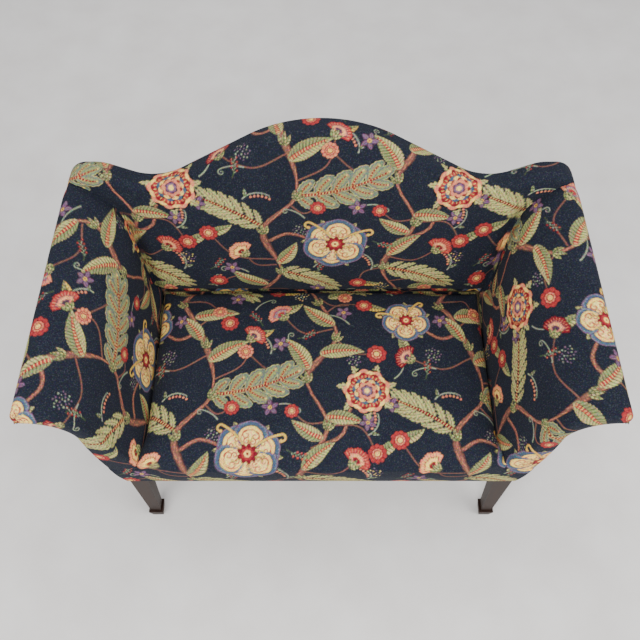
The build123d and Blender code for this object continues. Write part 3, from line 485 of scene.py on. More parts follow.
    def sprig(self, base, heading, colour="crimson", length=52, berries=7):
        """A thin stem with berries."""
        line = self.tendril(base, heading, length, 0.5, 0.6, "olive")
        for berry in range(berries):
            share = 0.3 + 0.7 * berry / berries
            hand = 1 if berry % 2 else -1
            turn = heading + 0.5 * share + hand * 0.9
            stalk = bow(line[int(share * 39)], turn, length * 0.2, -hand * 0.5, 8)
            self.ribbon(stalk, 0.7, "mint")
            self.disc(stalk[-1], 2.8, colour, rim=0.6)
            self.disc(stalk[-1] + 0.8, 1.0, "salmon")

    def bells(self, base, heading, length, hand):
        """A pale arched stem with a row of hanging drops."""
        line = bow(base, heading, length, hand * 1.5, 40)
        self.ribbon(line, np.linspace(1.6, 0.9, 40), "mint")
        hang = 9.0 * hand * way(heading + hand * 0.9 + QUARTER)
        for at in line[14::5]:
            self.ribbon(np.linspace(at, at + hang, 4), 0.6, "mint")
            self.disc(at + hang, 2.9, "salmon", rim=0.7)
        self.leaf(line[6], heading - hand * 0.7, length * 0.3, length * 0.11, 0.2, "mint", False)

    def dots(self, centre, spread, count, colours):
        """Seeds scattered evenly round a centre."""
        for dot in range(count):
            at = centre + spread * math.sqrt((dot + 0.5) / count) * way(dot * GOLDEN_TURN)
            self.disc(at, 1.3 + 0.8 * self.chance.random(), colours[dot % len(colours)])

    def branch(self, knots, widths):
        """A ragged brown stem with shaded sides and short marks; widths run evenly along it."""
        line = spline(knots, 44 * len(knots))
        side, step = beside(line), np.arange(len(line))
        share = np.linspace(0, 1, len(line))
        half = np.interp(share, np.linspace(0, 1, len(widths)), widths) / 2
        ragged = half * (1 + 0.14 * np.sin(step * 0.9) * np.sin(step * 0.23))
        self.ribbon(line, ragged, "bark", 0.9)
        self.ribbon(line + side * (half * 0.12)[:, None], ragged * 0.7, "rust")
        for at in range(3, len(line) - 6, 3):
            shift = self.chance.uniform(-0.6, 0.7) * half[at]
            self.ribbon(line[at:at + 5] + side[at:at + 5] * shift, 0.5, "salmon")

    def stem(self, start, stop, bulge):
        """A thin stalk that bows to one side."""
        start, stop = np.asarray(start, float), np.asarray(stop, float)
        gap = stop - start
        middle = (start + stop) / 2 + bulge * np.array([-gap[1], gap[0]])
        self.ribbon(spline([start, middle, stop], 40), np.linspace(2.1, 1.47, 40), "rust", 0.7)

    def sheath(self, base, heading, length=34):
        """Three pointed green sepals round a stem."""
        for turn, share in ((0.75, 0.85), (-0.75, 0.85), (0.0, 1.0)):
            self.leaf(base, heading + turn, length * share, length * 0.3, -turn * 0.6, rib=False)

    def star(self, centre, radius):
        """A small purple flower with five pointed petals."""
        half = radius * 0.33 * np.sin(math.pi * np.linspace(0.05, 0.97, 20) ** 1.1) ** 0.8
        for turn in turns(5, self.chance.uniform(0, 6)):
            line = bow(centre, turn, radius, 0.3, 20)
            self.ribbon(line, half, "plum", 1.0)
            self.ribbon(line, half * 0.6, "mauve")
            self.ribbon(line[:-3], 0.7, "plum")
        for share, colour in ((0.26, "ink"), (0.22, "gold"), (0.1, "crimson")):
            self.disc(centre, radius * share, colour)

    def paint(self):
        """Lays out the repeat: stems first, then leaves, then flowers."""
        for draw, rows in (
            (self.branch, (
                (((150, 0), (205, 110), (165, 250), (250, 360), (225, 500), (150, 640)),
                 (15, 11, 7, 20, 14, 9, 6, 19, 13, 15)),
                (((520, 0), (470, 130), (540, 270), (490, 400), (565, 520), (520, 640)),
                 (9, 6, 19, 13, 9, 6, 18, 12, 7, 9)),
                (((178, 215), (230, 240), (300, 215), (345, 205)), (11, 6)),
                (((500, 215), (575, 250), (600, 320), (640, 360)), (11, 6)),
                (((205, 540), (150, 520), (105, 545), (60, 575)), (11, 6)),
            )),
            (self.stem, (
                ((195, 130), (112, 172), 0.25), ((480, 160), (606, 182), -0.2),
                ((556, 545), (424, 588), 0.25), ((232, 470), (62, 458), 0.2),
                ((172, 60), (38, 62), -0.2), ((190, 150), (28, 238), 0.2),
                ((470, 120), (408, 48), -0.25), ((545, 275), (662, 205), 0.25),
                ((500, 425), (330, 478), 0.2), ((560, 520), (668, 470), -0.2),
                ((205, 560), (284, 566), 0.3), ((235, 330), (302, 322), -0.3),
                ((530, 590), (640, 628), 0.2), ((160, 10), (255, -34), 0.2),
                ((520, 20), (600, -12), -0.2), ((545, 285), (452, 312), 0.2),
                ((488, 60), (590, 20), 0.3), ((255, 400), (345, 520), -0.2),
            )),
            (self.tendril, (
                ((120, 100), 2.4, 70, 0.9), ((290, 120), 1.0, 60, -1.0), ((600, 560), 2.2, 60, 0.8),
                ((460, 470), 2.3, 62, -0.8), ((130, 430), 2.9, 62, 0.8), ((270, 290), 2.2, 55, 0.8),
                ((420, 330), 0.2, 55, -0.9), ((350, 610), 1.2, 62, -0.9), ((20, 400), 0.6, 58, 0.9),
            )),
            (self.plume, (
                ((166, 262), 2.5, 205, 128, 0.35), ((474, 118), -0.15, 200, 120, -0.5),
                ((203, 108), -0.3, 180, 116, -0.55),
            )),
            (self.frond, (((250, 358), 0.05, 250, 138, 0.5),)),
            (self.leaf, (
                ((168, 40), 2.75, 112, 42, -0.5), ((198, 135), 0.75, 92, 36, 0.5),
                ((236, 452), 0.75, 116, 42, -0.5), ((190, 585), 0.35, 120, 42, -0.5),
                ((212, 515), 2.0, 96, 36, 0.6), ((480, 165), 0.95, 104, 38, -0.5),
                ((530, 242), 2.85, 92, 34, -0.5), ((536, 296), 0.05, 96, 36, -0.4),
                ((494, 425), 1.95, 112, 42, 0.5), ((522, 470), 0.3, 116, 40, -0.5),
                ((562, 560), 2.75, 110, 40, -0.6),
            )),
            (self.small_leaf, (
                ((545, 20), 0.5, 80, 30, -0.4), ((66, 470), 2.2, 66, 26, -0.5),
                ((420, 600), 0.3, 66, 26, 0.5), ((30, 238), 0.2, 66, 26, 0.5),
                ((410, 48), -0.3, 62, 24, 0.5), ((664, 205), 0.4, 66, 26, 0.5),
                ((345, 520), 0.2, 62, 24, 0.4), ((640, 628), -0.5, 62, 24, 0.5),
            )),
            (self.sheath, (
                ((205, 92), 1.5), ((170, 238), 1.9), ((246, 346), 1.0), ((226, 490), 1.6),
                ((475, 112), 1.8), ((538, 262), 1.2), ((492, 388), 1.8), ((560, 508), 1.1),
                ((160, 620), 2.2), ((522, 628), 2.0),
            )),
            (self.sprig, (
                ((292, 96), 0.9), ((20, 110), 0.6), ((372, 556), 2.0), ((100, 400), 1.2),
                ((462, 515), 0.2), ((440, 215), -0.6, "coral"),
            )),
            (self.bells, (
                ((120, 345), 0.9, 74, -1), ((395, 470), 1.3, 70, 1), ((640, 105), 1.0, 74, 1),
                ((30, 30), 2.2, 66, -1), ((440, 110), 1.2, 70, 1), ((640, 250), 0.4, 66, 1),
            )),
            (self.dots, (
                ((258, 252), 19, 20, ("mint", "mauve")), ((655, 150), 22, 24, ("ivory", "mauve")),
                ((125, 470), 22, 24, ("mint", "mauve")), ((470, 30), 22, 24, ("mint", "ivory")),
                ((610, 450), 18, 18, ("mint", "mauve")),
            )),
            (self.rosette, (
                ((38, 62), 23, "coral"), ((28, 238), 22, "coral"), ((302, 322), 18, "coral"),
                ((408, 48), 22, "coral"), ((662, 205), 22, "coral"), ((668, 470), 24, "coral"),
                ((330, 478), 19, "salmon"), ((284, 566), 22, "coral"), ((640, 628), 21, "coral"),
                ((255, 606), 18, "salmon"), ((452, 312), 17, "coral"), ((590, 20), 18, "salmon"),
            )),
            (self.carnation, (
                ((112, 172), 2.4, 35, "salmon", "crimson", "cream"),
                ((606, 182), 0.9, 35, "coral", "crimson", "salmon"),
                ((424, 588), 2.3, 35, "salmon", "coral", "mauve"),
                ((62, 458), 2.6, 34, "crimson", "plum", "salmon"),
                ((345, 520), 0.8, 33, "coral", "plum", "salmon"),
            )),
            (self.star, (
                ((78, 118), 22), ((398, 322), 22), ((150, 575), 21), ((585, 600), 22),
                ((420, 500), 22), ((300, 14), 22), ((10, 330), 21), ((640, 282), 21),
            )),
            (self.bloom, (((345, 205), 84, 6, 0.35),)),
            (self.peony, (((640, 366), 66),)),
            (self.bloom, (((60, 575), 66, 5, 0.9),)),
        ):
            for row in rows:
                draw(*row)
        return self.weave()

    def weave(self):
        """Averages the fine drawing to one cell a millimetre and softens it a little."""
        cell = self.tile.reshape(self.HEIGHT, self.FINE, self.WIDTH, self.FINE, 3).mean(axis=(1, 3))
        near = sum(np.roll(cell, step, axis) for axis in (0, 1) for step in (1, -1)) / 4
        return 0.8 * cell + 0.2 * near


@functools.cache
def painted(yarns):
    """The tapestry's repeat, painted once for each set of yarns."""
    return Repeat(yarns).paint()


def between(grid, row, column):
    """Reads a grid that joins itself at places between its cells."""
    low, left = np.floor(row).astype(int), np.floor(column).astype(int)
    up, across = (row - low)[..., None], (column - left)[..., None]
    tall, wide = grid.shape[:2]
    near, far = (
        grid[at % tall, left % wide] * (1 - across) + grid[at % tall, (left + 1) % wide] * across
        for at in (low, low + 1)
    )
    return near * (1 - up) + far * up


class Arm:
    """Cross-sections of the right arm at given depths, drawn in from its face by an inset."""

    # Shares of the inside outline at which the roll and the nose start.
    SLOPE, ROLL = 0.52, 0.9
    # Turn of the nose from its top to the seam with the outside cloth.
    SPLIT = math.radians(130)

    def __init__(self, size, y, inset=0.0):
        share = (y - size.seat_front) / (size.arm_rear - size.seat_front)

        def mix(front, rear):
            return front + (rear - front) * share

        self.size = size
        self.inset = inset
        self.lip = size.arm_lip / 2
        turn = mix(0, size.arm_turn_rear)
        radius = mix(size.arm_roll_front, size.arm_roll_rear)
        self.middle = radius - self.lip
        tip = mix(size.arm_tip_front, size.arm_tip_rear)
        top = mix(size.arm_top_front, size.arm_top_rear)
        self.x = tip - self.lip + self.middle * np.sin(turn)
        self.z = top - self.lip - self.middle * np.cos(turn)
        self.inner = radius - inset
        self.outer = radius - size.arm_lip + inset
        self.end = QUARTER + turn
        self.foot = size.seat_width / 2 + inset
        side, drop = self.foot - self.x, size.arm_foot - self.z
        lean = np.arccos(self.inner / np.hypot(side, drop))
        self.start = np.mod(np.arctan2(drop, side), WHOLE) - lean
        self.belly = mix(size.belly_front, size.belly_rear)

    def slope(self, part):
        """The straight inside face, from the tuck up to the roll."""
        x, z = self.roll(self.start)
        low = self.size.arm_foot
        return self.foot + (x - self.foot) * part, low + (z - low) * part

    def roll(self, turn):
        """The rolled inside face."""
        return self.x + self.inner * np.cos(turn), self.z + self.inner * np.sin(turn)

    def throat(self, turn):
        """The hollow under the roll."""
        return self.x + self.outer * np.cos(turn), self.z + self.outer * np.sin(turn)

    def nose(self, turn):
        """The round edge of the lip."""
        tip = self.lip - self.inset
        x = self.x + self.middle * np.cos(self.end) + tip * np.cos(turn)
        z = self.z + self.middle * np.sin(self.end) + tip * np.sin(turn)
        return x, z

    def under_nose(self, part):
        """The lower part of the lip, from the throat up to the seam."""
        return self.nose(self.end - math.pi + (math.pi - self.SPLIT) * part)

    def flank(self):
        """Circle of the outside face through hem, belly and waist: middle x, z and radius."""
        ax, az = self.size.arm_base - self.inset, self.size.hem_height
        cx, cz = self.x - self.outer, self.z
        bx, bz = (ax + cx) / 2 + self.belly, (az + cz) / 2
        a, b, c = ax**2 + az**2, bx**2 + bz**2, cx**2 + cz**2
        scale = 2 * (ax * (bz - cz) + bx * (cz - az) + cx * (az - bz))
        mx = (a * (bz - cz) + b * (cz - az) + c * (az - bz)) / scale
        mz = (a * (cx - bx) + b * (ax - cx) + c * (bx - ax)) / scale
        return mx, mz, np.hypot(ax - mx, az - mz)

    def side(self, part, low):
        """The outside face, from a low height up to the waist."""
        mx, mz, radius = self.flank()
        start = np.arcsin((low - mz) / radius)
        turn = start + (np.arcsin((self.z - mz) / radius) - start) * part
        return mx + radius * np.cos(turn), mz + radius * np.sin(turn)

    def side_reach(self, height):
        """Distance of the outside face from the middle at a height."""
        mx, mz, radius = self.flank()
        low = mx + np.sqrt(radius**2 - (np.minimum(height, self.z) - mz) ** 2)
        rise = np.maximum(height - self.z, 0)
        high = self.x - np.sqrt(np.maximum(self.outer**2 - rise**2, 0))
        return np.where(height < self.z, low, high)

    def inside_reach(self, height, far=0.8):
        """Distance of the inside face from the middle at a height, or far off above the arm."""
        x, z = self.roll(self.start)
        low = self.size.arm_foot
        straight = self.foot + (x - self.foot) * (height - low) / (z - low)
        rolled = self.x - np.sqrt(np.maximum(self.inner**2 - (height - self.z) ** 2, 0))
        above = height > self.z + self.inner * np.sin(self.end)
        return np.where(height < z, straight, np.where(above, far, rolled))

    def joined(self, part, stops, pieces):
        """X and Z of outlines that follow each other, each up to its stop."""
        ahead = [part < stop for stop in stops]
        return [np.select(ahead, values[:-1], values[-1]) for values in zip(*pieces)]

    def inside(self, part):
        """The inside face and roll, from the tuck over the top to the seam under the lip."""
        roll = part_of(part, self.SLOPE, self.ROLL)
        return self.joined(part, (self.SLOPE, self.ROLL), (
            self.slope(part_of(part, 0, self.SLOPE)),
            self.roll(self.start + (self.end - self.start) * roll),
            self.nose(self.end - self.SPLIT * part_of(part, self.ROLL, 1)),
        ))

    def lining(self, part):
        """The face behind the padding, from the seat up to the edge of the curved top rail."""
        stop = self.end + (math.pi - self.end) * 0.42 + math.radians(0.5)
        return self.joined(part, (self.SLOPE,), (
            self.slope(part_of(part, 0, self.SLOPE)),
            self.roll(self.start + (stop - self.start) * part_of(part, self.SLOPE, 1)),
        ))

    def front_outer(self, part):
        """The outside outline of the arm's front, matched row by row with the inside one."""
        low, waist = self.size.band_top - 0.010, 0.88 * self.SLOPE
        fall = part_of(part, waist, self.SLOPE)
        roll = part_of(part, self.SLOPE, self.ROLL)
        turn = math.pi + (self.start - math.pi) * fall + (self.end - self.start) * roll
        return self.joined(part, (waist, self.ROLL), (
            self.side(part_of(part, 0, waist), low),
            self.throat(turn),
            self.under_nose(part_of(part, self.ROLL, 1)),
        ))

    def outside(self, part):
        """The outside face, from the hem up to the seam under the lip."""
        waist, lip = 0.614, 0.959
        return self.joined(part, (waist, lip), (
            self.side(part_of(part, 0, waist), self.size.hem_height),
            self.throat(math.pi + (self.end - math.pi) * part_of(part, waist, lip)),
            self.under_nose(part_of(part, lip, 1)),
        ))


def back_foot(size):
    """Y at which the back's face meets the height of the seat."""
    return size.seat_front + size.seat_depth


def back_place(size, x, rise, depth):
    """A place on the raked back: rise along it, depth forward of its face."""
    lean = size.back_rake
    y = back_foot(size) + rise * math.sin(lean) - depth * math.cos(lean)
    z = size.seat_height + rise * math.cos(lean) + depth * math.sin(lean)
    return np.stack(np.broadcast_arrays(x, y, z), axis=-1)


def meets_back(size, part, outline, past, inset=0.0):
    """Y at which an outline of the arm runs a distance past the back's face, by repeated tries."""
    y = np.full_like(part, size.arm_rear)
    for _ in range(3):
        _, height = outline(Arm(size, y, inset), part)
        y = back_foot(size) + (height - size.seat_height) * math.tan(size.back_rake) + past
    return y


def crest_half(size):
    """Right half of the crest outline, from the middle of the hump to the ear's corner."""

    def serpentine(top, low, top_radius, low_radius):
        upper = np.array([0.0, top[1] - top_radius])
        lower = np.array([abs(low[0] - top[0]), low[1] + low_radius])
        gap = lower - upper
        lean = math.acos((top_radius + low_radius) / math.hypot(*gap))
        sweep = way(np.linspace(QUARTER, math.atan2(gap[1], gap[0]) + lean, 60))
        line = np.vstack([upper + top_radius * sweep, (lower - low_radius * sweep)[::-1]])
        line[:, 0] = top[0] + np.sign(low[0] - top[0]) * line[:, 0]
        return line

    dip, peak = (size.dip_reach, size.dip_rise), (size.ear_peak, size.ear_rise)
    hump = serpentine((0.0, size.hump_rise), dip, size.hump_radius, size.dip_radius)
    ear = serpentine(peak, dip, size.ear_radius, size.ear_dip_radius)[::-1]
    middle = np.array([size.ear_reach, size.ear_rise]) - size.ear_corner
    corner = middle + size.ear_corner * way(np.linspace(QUARTER, 0.12, 30))
    return np.vstack([hump, ear[1:], corner])


def crest(size, spacing):
    """The whole crest at an even spacing, with its outward normals."""
    half = crest_half(size)
    line = np.vstack([half[:0:-1] * (-1, 1), half])
    run = run_of(line)
    line = read_line(line, run, np.linspace(0, run[-1], int(run[-1] / spacing) | 1))
    normal = beside(line)
    for _ in range(3):
        normal[1:-1] = (normal[:-2] + normal[1:-1] + normal[2:]) / 3
    return line, normal / np.linalg.norm(normal, axis=1, keepdims=True)


def facing(points):
    """Outward unit normals of a grid of points."""
    normal = np.cross(np.gradient(points, axis=1), np.gradient(points, axis=0))
    return normal / np.maximum(np.linalg.norm(normal, axis=2, keepdims=True), 1e-12)


def even_steps(count, stride):
    """Numbers a stride apart up to the last one, which is always kept."""
    steps = list(range(0, count - 1, stride))
    if count - 1 - steps[-1] < stride // 2 and len(steps) > 1:
        steps.pop()
    return np.array(steps + [count - 1])


def quads(index):
    """Faces of a grid of point numbers."""
    corners = (index[:-1, :-1], index[:-1, 1:], index[1:, 1:], index[1:, :-1])
    return np.stack(corners, axis=-1).reshape(-1, 4)


def lengths(points, axis):
    """Running length along a grid direction."""
    step = np.linalg.norm(np.diff(points, axis=axis), axis=2)
    return np.pad(np.cumsum(step, axis=axis), [(1 - axis, 0), (axis, 0)])


def soften(values, reach):
    """Box average along both grid directions, held at the edges."""
    width = 2 * reach + 1
    for axis in (0, 1):
        pads = np.zeros((values.ndim, 2), int)
        pads[axis] = reach
        total = np.cumsum(np.pad(values, pads, mode="edge"), axis)
        pads[axis] = (1, 0)
        total = np.moveaxis(np.pad(total, pads), axis, 0)
        values = np.moveaxis(total[width:] - total[:-width], 0, axis) / width
    return values


def add_object(context, name, data):
    """Adds an object to the scene."""
    added = bpy.data.objects.new(name, data)
    context.scene.collection.objects.link(added)
    return added


def stuffing(context, points, held, pressure, cap):
    """Swells a coarse copy of a panel as pinned cloth and returns each fine point's move."""
    rows, columns = (even_steps(count, STUFFING_STRIDE) for count in points.shape[:2])
    coarse = points[np.ix_(rows, columns)]
    tall, wide = coarse.shape[:2]
    mesh = bpy.data.meshes.new("stuffing")
    faces = quads(np.arange(tall * wide).reshape(tall, wide))
    mesh.from_pydata(coarse.reshape(-1, 3).tolist(), [], faces.tolist())
    mesh.update()
    copy = add_object(context, "stuffing", mesh)
    fixed = held[np.ix_(rows, columns)].copy()
    fixed[[0, -1]] = True
    fixed[:, [0, -1]] = True
    group = copy.vertex_groups.new(name="held")
    group.add(np.nonzero(fixed.ravel())[0].tolist(), 1.0, "REPLACE")
    cloth = copy.modifiers.new("stuffing", "CLOTH")
    for name, value in STUFFING_CLOTH.items():
        setattr(cloth.settings, name, value)
    cloth.settings.uniform_pressure_force = pressure
    cloth.settings.effector_weights.gravity = 0
    cloth.point_cache.frame_start = 1
    cloth.point_cache.frame_end = STUFFING_FRAMES
    for step in range(1, STUFFING_FRAMES + 1):
        context.scene.frame_set(step)
    shown = copy.evaluated_get(context.evaluated_depsgraph_get())
    swollen = np.empty(coarse.size)
    shown.data.vertices.foreach_get("co", swollen)
    move = swollen.reshape(coarse.shape) - coarse
    bpy.data.objects.remove(copy)
    bpy.data.meshes.remove(mesh)
    context.scene.frame_set(1)
    length = np.linalg.norm(move, axis=2, keepdims=True)
    if not np.isfinite(length).all():
        raise RuntimeError("the stuffing did not settle")
    move *= np.minimum(1, cap / np.maximum(length, 1e-9))
    at_row = np.interp(np.arange(points.shape[0]), rows, np.arange(tall))
    at_column = np.interp(np.arange(points.shape[1]), columns, np.arange(wide))
    return soften(between(move, at_row[:, None], at_column[None]), STUFFING_STRIDE // 2)


def settle(context, mesh, slot):
    """Puts a mesh in the scene as one piece of the settee, with the finish of its slot."""
    mesh.materials.append(finish(context, slot))
    mesh.update()
    piece = add_object(context, mesh.name, mesh)
    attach(piece, "root")
    return piece


def bake_grid(tall, wide, left, right):
    """Places of a grid on the bake map, between two sides."""
    across, up = np.meshgrid(np.linspace(left, right, wide), np.linspace(0.005, 0.995, tall))
    return np.column_stack([across.ravel(), up.ravel()])


def panel(context, name, points, cloth, shades, slot, thickness, stride, mirror=False):
    """Makes a closed cloth panel from a grid: a fine outer skin, a coarse inner skin and a rim."""
    tall, wide = points.shape[:2]
    rows, columns = even_steps(tall, stride), even_steps(wide, stride)
    coarse = np.ix_(rows, columns)
    inner = points[coarse] - facing(points)[coarse] * thickness
    index = np.arange(tall * wide).reshape(tall, wide)
    under = index.size + np.arange(len(rows) * len(columns)).reshape(len(rows), len(columns))
    faces = quads(index)[:, ::-1].tolist() + quads(under).tolist()
    skins = len(faces)
    for edge, far, line in (
        (index[0], under[0], columns),
        (index[-1, ::-1], under[-1, ::-1], (wide - 1 - columns)[::-1]),
        (index[::-1, 0], under[::-1, 0], (tall - 1 - rows)[::-1]),
        (index[:, -1], under[:, -1], rows),
    ):
        for step in range(len(line) - 1):
            fine = edge[line[step]:line[step + 1] + 1].tolist()
            faces.append(fine + [int(far[step + 1]), int(far[step])])
    places = np.vstack([points.reshape(-1, 3), inner.reshape(-1, 3)])
    if mirror:
        places = places * (-1, 1, 1)
    else:
        faces = [face[::-1] for face in faces]
    mesh = bpy.data.meshes.new(name)
    mesh.from_pydata(places.tolist(), [], faces)
    mesh.polygons.foreach_set("use_smooth", np.ones(len(faces), bool))
    colour = np.ones((len(places), 4))
    colour[:index.size, :3] = shades.reshape(-1, 3)
    colour[index.size:, :3] = CLOTH_BACK
    mesh.attributes.new("Yarn", "FLOAT_COLOR", "POINT").data.foreach_set("color", colour.ravel())
    corner = np.empty(len(mesh.loops), int)
    mesh.loops.foreach_get("vertex_index", corner)
    weave = np.vstack([cloth.reshape(-1, 2), cloth[coarse].reshape(-1, 2)])[corner]
    skin, back = bake_grid(tall, wide, 0.005, 0.93), bake_grid(*under.shape, 0.945, 0.97)
    bake = np.vstack([skin, back])[corner]
    rim = mesh.polygons[skins].loop_start
    bake[rim:] = bake[rim:] * (0.01, 1) + (0.985, 0)
    for layer, flat in (("Weave", weave), ("OFBake", bake)):
        mesh.uv_layers.new(name=layer).data.foreach_set("uv", flat.ravel())
    mesh.uv_layers["Weave"].active = True
    piece = settle(context, mesh, slot)
    mesh.set_sharp_from_angle(angle=math.radians(50))
    return piece


def tapestry_piece(context, name, points, cloth, offset, thickness, stride, mirror=False):
    """A panel of the flowered tapestry; offset is its start in the repeat, in metres."""
    colours = context.scene.settee_colours
    yarns = tuple((yarn, tuple(getattr(colours, yarn))) for yarn in SetteeColours.__annotations__)
    cell = (cloth + np.asarray(offset)) * 1000 - 0.5
    shades = between(painted(yarns), cell[..., 1], cell[..., 0])
    return panel(context, name, points, cloth, shades, "tapestry", thickness, stride, mirror)


def hessian_piece(context, name, points, mirror=False):
    """A plain hessian cloth laid as one closed sheet."""
    cloth = np.stack([lengths(points, 1), lengths(points, 0)], axis=-1)
    shades = np.zeros(points.shape)
    return panel(context, name, points, cloth, shades, "hessian", 0.0008, SHEET_STRIDE, mirror)


def plain_piece(context, name, places, faces, slot):
    """A piece from its points and faces."""
    mesh = bpy.data.meshes.new(name)
    mesh.from_pydata(np.asarray(places).tolist(), [], faces)
    return settle(context, mesh, slot)


def cut_cloth(points, flat=None):
    """Works out the rectangle that a stretched cloth is cut from; nothing is declared or kept."""
    flat = flat or (float(lengths(points, 1)[:, -1].max()), float(lengths(points, 0)[-1].max()))


def tube(rings, places, faces):
    """Adds a tube through rings of points, closed at both ends."""
    start, count = len(places), len(rings[0])
    last = start + count * (len(rings) - 1)
    places.extend(point for ring in rings for point in ring)
    for base in range(start, last, count):
        above = base + count
        for edge in range(count):
            following = (edge + 1) % count
            faces.append([base + edge, above + edge, above + following, base + following])
    faces.append(list(range(start, start + count)))
    faces.append(list(range(last + count - 1, last - 1, -1)))


def interlaced(spot, ups, acrosses, up_ends, across_ends, width, thickness, seated):
    """Straps that pass over and under each other; spot turns x, a rise and a lift into a place."""
    places, faces = [], []
    origin = spot(0.0, 0.0, 0.0)
    normal = (spot(0.0, 0.0, 1.0) - origin) * thickness / 2
    for over, straps, others, ends, count, side in (
        (1, ups, acrosses, up_ends, 61, spot(1.0, 0.0, 0.0) - origin),
        (-1, acrosses, ups, across_ends, 101, origin - spot(0.0, 1.0, 0.0)),
    ):
        edge = side * width / 2
        height = over * thickness * 0.53  # just over half, so that crossing straps stay apart
        run = np.linspace(*ends, count)
        for number, at in enumerate(straps):
            crossings = [height * (-1) ** (number + other) for other in range(len(others))]
            lifts = np.interp(run, [ends[0], *others, ends[1]], [-seated, *crossings, -seated])
            line = [
                spot(at, along, lift) if over > 0 else spot(along, at, lift)
                for along, lift in zip(run, lifts)
            ]
            tube([[on - edge - normal, on + edge - normal, on + edge + normal, on - edge + normal]
                  for on in line], places, faces)
    return places, faces


class Shader:
    """A new material with its surface shader and short ways to add nodes."""

    def __init__(self, name):
        self.material = bpy.data.materials.new(name)
        self.material.use_nodes = True
        self.tree = self.material.node_tree
        self.place = self.add("TexCoord")["Object"]

    def fill(self, node, inputs):
        """Gives each named input a link from a socket or a constant."""
        for key, source in inputs.items():
            if isinstance(source, bpy.types.NodeSocket):
                self.tree.links.new(source, node.inputs[key])
            else:
                node.inputs[key].default_value = source

    def surface(self, inputs):
        self.fill(self.tree.nodes["Principled BSDF"], inputs)

    def add(self, kind, inputs=None, **settings):
        """Adds a node and returns its outputs."""
        node = self.tree.nodes.new(f"ShaderNode{kind}")
        for key, value in settings.items():
            setattr(node, key, value)
        self.fill(node, inputs or {})
        return node.outputs

    def noise(self, vector, scale, detail, roughness=0.5, distortion=0.0):
        return self.add("TexNoise", {
            "Vector": vector, "Scale": scale, "Detail": detail, "Roughness": roughness,
            "Distortion": distortion,
        })

    def span(self, value, source, target):
        """Maps one span of values to another."""
        return self.add("MapRange", {
            "Value": value, "From Min": source[0], "From Max": source[1],
            "To Min": target[0], "To Max": target[1],
        })["Result"]

    def math(self, operation, first, second):
        return self.add("Math", {0: first, 1: second}, operation=operation)[0]

    def vector(self, operation, *sources):
        return self.add("VectorMath", dict(enumerate(sources)), operation=operation)[0]

    def stretch(self, vector, scale):
        return self.add("Mapping", {"Vector": vector, "Scale": scale})[0]

    def threads(self, vector, scale, distortion):
        """Crossing waves of warp and weft."""
        waves = {"Vector": vector, "Scale": scale, "Distortion": distortion}
        warp, weft = (self.add("TexWave", waves, bands_direction=axis)["Fac"] for axis in "XY")
        return self.math("MULTIPLY", warp, weft)

    def bump(self, height, strength, distance):
        inputs = {"Height": height, "Strength": strength, "Distance": distance}
        return self.add("Bump", inputs)["Normal"]

    def ramp(self, source, *stops):
        """Two colours, each at its position."""
        outputs = self.add("ValToRGB", {"Fac": source})
        elements = outputs[0].node.color_ramp.elements
        for element, (position, shade) in zip(elements, stops):
            element.position = position
            element.color = (*shade, 1)
        return outputs["Color"]


def tapestry_cloth(shader):
    """Woven tapestry: the dyed yarn, heathered ground, thread relief and a soft sheen."""
    yarn = shader.add("VertexColor", layer_name="Yarn")["Color"]
    weave = shader.add("UVMap", uv_map="Weave")["UV"]
    thread = shader.noise(shader.place, 620, 3, 0.7)["Fac"]
    drawn = shader.noise(shader.stretch(weave, (430, 210, 1)), 1, 2, 0.6)["Color"]
    hue = shader.vector("MULTIPLY_ADD", drawn, (2.4, 2.4, 2.4), (-0.2, -0.2, -0.2))
    spun = shader.vector("MULTIPLY", yarn, hue)
    toned = shader.vector("MULTIPLY", spun, shader.span(thread, (0.3, 0.7), (0.66, 1.3)))
    wear = shader.span(shader.noise(shader.place, 14, 4, 0.6)["Fac"], (0.3, 0.7), (0.92, 1.1))
    worn = shader.vector("MULTIPLY", toned, wear)
    fleck = shader.span(shader.noise(shader.place, 330, 1.5)["Fac"], (0.56, 0.70), (0, 0.16))
    # The mix node's colour sockets share their names with others, so they go by number.
    factor, first, second, result = 0, 6, 7, 2
    flecked = {factor: fleck, first: worn, second: (0.17, 0.18, 0.19, 1)}
    heather = shader.add("Mix", data_type="RGBA", blend_type="ADD")
    shader.fill(heather[result].node, flecked)
    relief = shader.math("ADD", shader.threads(weave, 190, 1.5), thread)
    shader.surface({
        "Base Color": heather[result],
        "Normal": shader.bump(relief, 0.45, 0.0006),
        "Roughness": 0.9,
        "Specular IOR Level": 0.1,
        "Sheen Weight": 0.02,
        "Sheen Roughness": 0.5,
    })


def timber(shader, dark, light, roughness, coat):
    """Wood with long grain along the height, pores and a little wear."""
    along = shader.stretch(shader.place, (70, 70, 4))
    grain = shader.noise(along, 1.6, 7, 0.65, 0.7)["Fac"]
    shader.surface({
        "Base Color": shader.ramp(grain, (0.3, dark), (0.72, light)),
        "Normal": shader.bump(shader.noise(along, 9, 2)["Fac"], 0.2, 0.0004),
        "Roughness": shader.span(grain, (0, 1), (roughness - 0.06, roughness + 0.1)),
        "Specular IOR Level": 0.14,
        "Coat Weight": coat,
        "Coat Roughness": 0.25,
    })


def plain_weave(shader, dark, light, pitch):
    """A plain woven cloth for webbing, hessian, dust cloth and padding."""
    fuzz = shader.noise(shader.place, 240, 3)["Fac"]
    mixed = shader.math("ADD", shader.threads(shader.place, pitch, 2), fuzz)
    shader.surface({
        "Base Color": shader.ramp(shader.math("MULTIPLY", mixed, 0.5), (0.15, dark), (0.85, light)),
        "Normal": shader.bump(mixed, 0.4, 0.0005),
        "Roughness": 0.95,
    })


